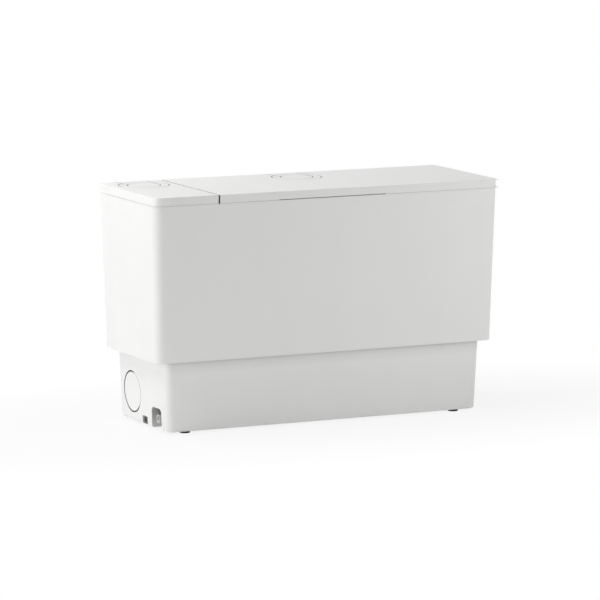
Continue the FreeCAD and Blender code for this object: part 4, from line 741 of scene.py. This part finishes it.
# %% The three sets of screws
def make_screw_set(node, head_rise, shank_radius, seed):
    """Grow a node's screws at the places of its solids; returns their number."""
    places = islands(node)
    low, high = places[0]
    head_radius = (high.x - low.x) / 2
    template = make_screw_template(f"{node}_template", head_radius, head_rise, shank_radius,
                                   high.z - low.z - head_rise)
    points = [((a.x + b.x) / 2, (a.y + b.y) / 2, b.z - head_rise) for a, b in places]
    mesh = grow(f"{node}_set", points, PLACING_TREE, template=template, most_turn=TURN, seed=seed,
                finish=FINISHES["screw_steel"])
    bpy.data.objects.remove(template)
    mesh.set_sharp_from_angle(angle=math.radians(30))
    settle(f"{node}_set", mesh, [node])
    return len(points)


SCREW_SETS = (
    ("housing_screws", 2 * MM, 1.5 * MM, 3),
    ("motor_screws", 3 * MM, 2 * MM, 5),
    ("control_screws", 2 * MM, 1.5 * MM, 8),
)
for node, head_rise, shank_radius, seed in SCREW_SETS:
    print(node, make_screw_set(node, head_rise, shank_radius, seed), "screws")

# %% [markdown]
# ## The clamp of the non-return valve
# A steel band holds the discharge spigot on the valve, so that it can be opened for cleaning. Its edges are
# rolled outwards, its two ears are bent from the same band, and a bolt and nut pull them together.

# %% Band, ears and bolt
def make_clamp():
    """The band as an open ring, its two ears, and the bolt and nut across them."""
    low, high = node_box("valve_clamp")
    centre = Vector((low.x + (high.y - low.y) / 2, (low.y + high.y) / 2, low.z))
    outer = (high.y - low.y) / 2
    width = high.z - low.z
    band = 1.2 * MM
    ear_reach = high.x - centre.x
    gap = 1.4 * MM
    shape = bmesh.new()
    section = [(outer - 2.6 * MM, 0), (outer - 0.6 * MM, 0), (outer - 0.2 * MM, 0.8 * MM),
               (outer - 1.4 * MM, 1.8 * MM), (outer - 1.4 * MM, width - 1.8 * MM),
               (outer - 0.2 * MM, width - 0.8 * MM), (outer - 0.6 * MM, width), (outer - 2.6 * MM, width)]
    opening = math.asin(gap / outer)
    lathe(shape, rounded_profile(section, 0.4 * MM), centre, steps=90, arc=(opening, TURN - opening))
    for side in (-1, 1):
        ear = [(outer - 2.4 * MM, gap), (ear_reach, gap), (ear_reach, gap + band), (outer + 0.6 * MM, gap + band),
               (outer - 1.6 * MM, gap + 3 * band)]
        faces = [[shape.verts.new((centre.x + x, centre.y + side * y, centre.z + height)) for x, y in ear]
                 for height in (1 * MM, width - 1 * MM)]
        shape.faces.new(faces[0])
        shape.faces.new(faces[1])
        bridge(shape, *faces)
    bolt_x = (outer + ear_reach) / 2 + 1 * MM
    bolt_centre = centre + Vector((bolt_x, -4 * MM, width / 2))
    bolt = [(0, 0), (2.6 * MM, 0), (2.9 * MM, 0.3 * MM), (2.9 * MM, 1.2 * MM), (1.5 * MM, 1.2 * MM),
            (1.5 * MM, 8 * MM), (0, 8 * MM)]
    lathe(shape, bolt, bolt_centre, steps=6, facing=TOWARDS_BACK)
    nut_centre = centre + Vector((bolt_x, gap + band, width / 2))
    nut = [(0, 0), (2.9 * MM, 0), (2.9 * MM, 1.2 * MM), (2.5 * MM, 1.4 * MM), (0, 1.4 * MM)]
    lathe(shape, nut, nut_centre, steps=6, facing=TOWARDS_BACK)
    finish_piece("valve_clamp_band", shape, ["valve_clamp"], sharp=30)


make_clamp()
print("clamp made")

# %% [markdown]
# ## The motor capacitor
# A drawn aluminium can whose rim is rolled over a dark plastic lid with two flat terminals. The can and its lid
# are separate pieces, because they have different finishes.

# %% Can, lid and terminals
def make_capacitor():
    """The drawn can, its plastic lid and two flat terminals."""
    low, high = node_box("capacitor")
    centre = foot_of(low, high)
    radius = (high.x - low.x) / 2
    rise = high.z - low.z
    top = rise - 3 * MM
    shape = bmesh.new()
    can = [(0, 0), (radius - 1.2 * MM, 0), (radius, 1.2 * MM), (radius, top - 6 * MM),
           (radius - 0.8 * MM, top - 5.2 * MM), (radius - 0.8 * MM, top - 4.4 * MM), (radius, top - 3.6 * MM),
           (radius, top - 1 * MM), (radius - 0.6 * MM, top), (radius - 1.8 * MM, top),
           (radius - 2.4 * MM, top - 0.8 * MM), (radius - 2.4 * MM, top - 2 * MM), (0, top - 2 * MM)]
    lathe(shape, rounded_profile(can, 0.5 * MM), centre, steps=72)
    finish_piece("capacitor_can", shape, ["capacitor"])
    lid = bmesh.new()
    disc = [(0, top - 1.9 * MM), (radius - 2.5 * MM, top - 1.9 * MM), (radius - 2.5 * MM, top - 1.2 * MM),
            (radius - 4 * MM, top - 0.6 * MM), (6 * MM, top - 0.6 * MM), (6 * MM, top + 0.2 * MM),
            (0, top + 0.2 * MM)]
    lathe(lid, rounded_profile(disc, 0.3 * MM), centre, steps=56)
    finish_piece("capacitor_lid", lid, slot="dark_plastic")
    tags = bmesh.new()
    thick, wide = 0.4 * MM, 2.4 * MM
    for middle in (-2.6 * MM, 2.6 * MM):
        corners = [(middle - thick, -wide), (middle + thick, -wide), (middle + thick, wide), (middle - thick, wide)]
        lower = [tags.verts.new(centre + Vector((x, y, top))) for x, y in corners]
        upper = [tags.verts.new(centre + Vector((x, y * 0.75, rise))) for x, y in corners]
        tags.faces.new(lower)
        tags.faces.new(upper)
        bridge(tags, lower, upper)
    finish_piece("capacitor_tags", tags, slot="screw_steel")


make_capacitor()
print("capacitor made")

# %% [markdown]
# ## The vent filter
# Air leaves through a slotted cap with a charcoal foam disc under it. The slats across the round window follow
# a rule, so Geometry Nodes lays them out: each is as long as the window is wide at its place.

# %% A tree that lays slats across a round window
def make_slat_tree():
    """Slats side by side across a round window, each as long as the window is wide there."""
    tree, given, result = new_group(
        "slats_across_a_window", "GeometryNodeTree",
        (("Geometry", "NodeSocketGeometry", None), ("Slats", "NodeSocketInt", 6),
         ("Window radius", "NodeSocketFloat", 11 * MM), ("Share", "NodeSocketFloat", 0.48),
         ("Rise", "NodeSocketFloat", 2 * MM), ("Centre", "NodeSocketVector", (0.0, 0.0, 0.0)),
         ("Finish", "NodeSocketMaterial", None)),
        (("Geometry", "NodeSocketGeometry"),),
    )
    radius = given.outputs["Window radius"]
    slats = given.outputs["Slats"]
    pitch = maths(tree, "DIVIDE", maths(tree, "MULTIPLY", radius, 2.0), maths(tree, "ADD", slats, 1.0))
    first = maths(tree, "MULTIPLY", maths(tree, "MULTIPLY", maths(tree, "SUBTRACT", slats, 1.0), pitch), -0.5)
    start = add_node(tree, "ShaderNodeCombineXYZ", {"X": first}).outputs[0]
    offset = add_node(tree, "ShaderNodeCombineXYZ", {"X": pitch}).outputs[0]
    line = add_node(tree, "GeometryNodeMeshLine", {"Count": slats, "Start Location": start, "Offset": offset})
    along = add_node(tree, "ShaderNodeSeparateXYZ", {0: add_node(tree, "GeometryNodeInputPosition").outputs[0]})
    squared = maths(tree, "MULTIPLY", along.outputs["X"], along.outputs["X"])
    reach = maths(tree, "SQRT", maths(tree, "SUBTRACT", maths(tree, "MULTIPLY", radius, radius), squared))
    size = add_node(tree, "ShaderNodeCombineXYZ",
                    {"X": maths(tree, "MULTIPLY", pitch, given.outputs["Share"]),
                     "Y": maths(tree, "MULTIPLY", reach, 2.0), "Z": given.outputs["Rise"]})
    slat = add_node(tree, "GeometryNodeMeshCube", {"Size": (1.0, 1.0, 1.0)})
    placed = add_node(tree, "GeometryNodeInstanceOnPoints",
                      {"Points": line.outputs[0], "Instance": slat.outputs[0], "Scale": size.outputs[0]})
    moved = add_node(tree, "GeometryNodeTranslateInstances",
                     {"Instances": placed.outputs[0], "Translation": given.outputs["Centre"],
                      "Local Space": False})
    real = add_node(tree, "GeometryNodeRealizeInstances", {0: moved.outputs[0]})
    painted = add_node(tree, "GeometryNodeSetMaterial",
                       {"Geometry": real.outputs[0], "Material": given.outputs["Finish"]})
    tree.links.new(painted.outputs[0], result.inputs["Geometry"])
    return tree


SLAT_TREE = make_slat_tree()


# %% Cap, slats and foam
def make_filter():
    """The cap with its round window, the slats in it, and the foam below."""
    low, high = node_box("vent_filter")
    centre = foot_of(low, high)
    radius = (high.x - low.x) / 2
    rise = high.z - low.z
    flange = rise - 2.5 * MM
    neck = 13.4 * MM
    window = 11 * MM
    shape = bmesh.new()
    section = [(window, rise), (radius - 1 * MM, rise), (radius, rise - 1 * MM), (radius, flange),
               (neck, flange), (neck, 0), (neck - 1.2 * MM, 0), (neck - 1.2 * MM, flange), (window, flange)]
    lathe(shape, rounded_profile(section, 0.4 * MM), centre, steps=72)
    finish_piece("vent_filter_cap", shape, ["vent_filter"])
    middle = (centre.x, centre.y, centre.z + (flange + rise) / 2)
    slats = grow("vent_filter_slats", [middle], SLAT_TREE, slats=6, window_radius=window + 0.3 * MM, rise=2 * MM,
                 centre=middle, finish=FINISHES["dark_plastic"])
    soften_edge(settle("vent_filter_slats", slats, slot="dark_plastic"), 0.3 * MM)
    foam = bmesh.new()
    disc = [(0, 2 * MM), (neck - 1.4 * MM, 2 * MM), (neck - 1.4 * MM, flange - 0.4 * MM), (0, flange + 0.1 * MM)]
    lathe(foam, rounded_profile(disc, 0.6 * MM), centre, steps=48)
    finish_piece("vent_filter_foam", foam, slot="black_rubber")


make_filter()
print("vent filter made")

# %% [markdown]
# ## The toilet inlet
# The pan's outlet pushes into a rubber sleeve on the back. Three shallow grooves leave sealing rings in its
# bore, and a soft plate with round corners lies on the housing's back wall and leans with it.

# %% The sleeve with its rings
WALL_LEAN = math.radians(1.48)
PLATE_CORNER = 33.7 * MM
PLATE_THICKNESS = 1.6 * MM


def make_sleeve():
    """The sleeve's tube with sealing rings in its bore, and the plate on the wall."""
    low, high = node_box("inlet_sleeve")
    half = (high.x - low.x) / 2
    centre = Vector(((low.x + high.x) / 2, low.y, (low.z + high.z) / 2))
    length = high.y - low.y - 0.1 * MM
    tube = half - 4 * MM
    bore = tube - 4 * MM
    groove = 1.2 * MM
    inside = [(bore, length)]
    count = 3
    pitch = (length - 5 * MM) / count
    for number in range(count):
        start = length - 4 * MM - number * pitch
        inside += [(bore, start), (bore + groove, start - 1.2 * MM), (bore + groove, start - pitch + 1.6 * MM),
                   (bore, start - pitch + 0.8 * MM)]
    inside += [(bore + 0.6 * MM, 0)]
    shape = bmesh.new()
    lathe(shape, rounded_profile([(tube, 0), (tube, length)] + inside, 0.35 * MM), centre, steps=120,
          facing=TOWARDS_BACK)
    add_plate(shape, centre, half, tube - 1 * MM, high)
    finish_piece("inlet_sleeve_rubber", shape, ["inlet_sleeve"])


def add_plate(shape, centre, half, hole, high):
    """Rounded square plate with a round hole that lies on the leaning back wall."""
    turns = 96
    straight = half - PLATE_CORNER
    rim = []
    for number in range(turns):
        angle = TURN * (number + 0.5) / turns
        across = math.copysign(straight, math.cos(angle))
        upright = math.copysign(straight, math.sin(angle))
        rim.append((angle, across, upright))
    loops = []
    for inset, depth, round_hole in ((0.0, PLATE_THICKNESS, False), (0.0, 0.5 * MM, False), (0.5 * MM, 0.0, False),
                                     (0.0, 0.0, True), (0.0, PLATE_THICKNESS, True)):
        loop = []
        for angle, across, upright in rim:
            x = across + (PLATE_CORNER - inset) * math.cos(angle)
            z = upright + (PLATE_CORNER - inset) * math.sin(angle)
            if round_hole:
                reach = math.hypot(x, z)
                x, z = x / reach * hole, z / reach * hole
            back = high.y - (high.z - centre.z - z) * math.tan(WALL_LEAN) - depth
            loop.append(shape.verts.new((centre.x + x, back, centre.z + z)))
        loops.append(loop)
    for here, there in zip(loops, loops[1:] + loops[:1]):
        bridge(shape, here, there)


make_sleeve()
print("sleeve made")

# %% [markdown]
# ## Floor, light and camera
# The unit stands on a plain pale floor in a bright studio. The floor is seen as white by the camera, but still
# takes the object's soft shadow. A large lamp on the left lights the end wall most and one above lights the lids.
# The front is lit from the right, by a high lamp and a low one, so that it brightens towards that side. A weak
# lamp behind keeps the back from going dark in other views.

# %% The floor
FLOOR_GLOW = (0.3, 0.75, 0.85, 1.0)


def make_floor():
    """Pale floor that the camera sees as almost white near the unit and as white further away."""
    half = 20.0
    mesh = bpy.data.meshes.new("floor")
    corners = [(-half, -half, 0), (half, -half, 0), (half, half, 0), (-half, half, 0)]
    mesh.from_pydata(corners, [], [(0, 1, 2, 3)])
    floor = bpy.data.objects.new("floor", mesh)
    bpy.context.scene.collection.objects.link(floor)
    material, tree, shader = new_material("pale floor", Roughness=0.9)
    place = add_node(tree, "ShaderNodeTexCoord").outputs["Object"]
    mottle = add_node(tree, "ShaderNodeTexNoise", {"Vector": place, "Scale": 3.0, "Detail": 4.0})
    pale = mixed(tree, mottle.outputs["Fac"], screen(232, 232, 232), screen(236, 236, 236))
    tree.links.new(pale, shader.inputs["Base Color"])
    glow = add_node(tree, "ShaderNodeEmission", {"Color": (1, 1, 1, 1), "Strength": 1.0})
    beside = add_node(tree, "ShaderNodeVectorMath", {0: place, 1: (1.0, 2.0, 1.0)}, operation="MULTIPLY")
    away = add_node(tree, "ShaderNodeVectorMath", {0: beside.outputs[0]}, operation="LENGTH")
    plain = spread(tree, away.outputs["Value"], *FLOOR_GLOW)
    share = maths(tree, "MULTIPLY", seen_directly(tree), plain)
    both = add_node(tree, "ShaderNodeMixShader", {0: share, 1: shader.outputs[0], 2: glow.outputs[0]})
    tree.links.new(both.outputs[0], tree.nodes["Material Output"].inputs["Surface"])
    mesh.materials.append(material)


def seen_directly(tree):
    """1 for rays that the camera, a gloss or clear material sends, else 0."""
    path = add_node(tree, "ShaderNodeLightPath")
    gloss = maths(tree, "MAXIMUM", path.outputs["Is Glossy Ray"], path.outputs["Is Transmission Ray"])
    return maths(tree, "MAXIMUM", path.outputs["Is Camera Ray"], gloss)


make_floor()


# %% The room and its lamps
def make_room(ambient):
    """White surroundings that the camera sees at full strength and that light the unit by a share of it."""
    world = bpy.data.worlds.new("studio")
    bpy.context.scene.world = world
    world.use_nodes = True
    tree = world.node_tree
    background = tree.nodes["Background"]
    background.inputs["Color"].default_value = (1, 1, 1, 1)
    strength = spread(tree, seen_directly(tree), 0.0, 1.0, ambient, 1.0)
    tree.links.new(strength, background.inputs["Strength"])


def soft_lamp(name, place, target, size, watts):
    """A rectangular lamp that looks at the target."""
    lamp = bpy.data.lights.new(name, "AREA")
    lamp.shape = "RECTANGLE"
    lamp.size, lamp.size_y = size
    lamp.energy = watts
    holder = bpy.data.objects.new(name, lamp)
    holder.location = place
    holder.rotation_euler = (Vector(target) - Vector(place)).to_track_quat("-Z", "Y").to_euler()
    bpy.context.scene.collection.objects.link(holder)


MIDDLE = (0.0, 0.0, 0.16)
AMBIENT = 0.25
LAMPS = (
    ("left softbox", (-2.6, -0.6, 0.7), (1.6, 1.6), 28.8),
    ("near top softbox", (-0.8, 0.3, 1.5), (0.9, 0.9), 11.3),
    ("right front softbox", (1.1, -1.2, 1.0), (0.8, 0.8), 4.6),
    ("low right softbox", (0.9, -0.8, 0.25), (0.5, 0.4), 1.9),
    ("back softbox", (-0.6, 1.8, 1.6), (1.4, 1.4), 2.5),
)
make_room(AMBIENT)
for name, place, size, watts in LAMPS:
    soft_lamp(name, place, MIDDLE, size, watts)
print(len(LAMPS), "lamps lit")

# %% The camera
CAMERA_PLACE = Vector((-2.4899, -5.2135, 0.9914))
CAMERA_FORWARD = Vector((0.42668, 0.89293, -0.14355))
FOCAL_PIXELS = 4391.0
PHOTO_PIXELS = 600.0
SENSOR_WIDTH = 36.0


def make_camera():
    """The camera that was fitted to the photo's edges."""
    lens = bpy.data.cameras.new("photo camera")
    lens.sensor_width = SENSOR_WIDTH
    lens.lens = FOCAL_PIXELS / PHOTO_PIXELS * SENSOR_WIDTH
    lens.clip_end = 100.0
    camera = bpy.data.objects.new("photo camera", lens)
    camera.location = CAMERA_PLACE
    camera.rotation_euler = CAMERA_FORWARD.to_track_quat("-Z", "Y").to_euler()
    bpy.context.scene.collection.objects.link(camera)
    bpy.context.scene.camera = camera


make_camera()
bpy.context.scene.view_settings.view_transform = "Standard"
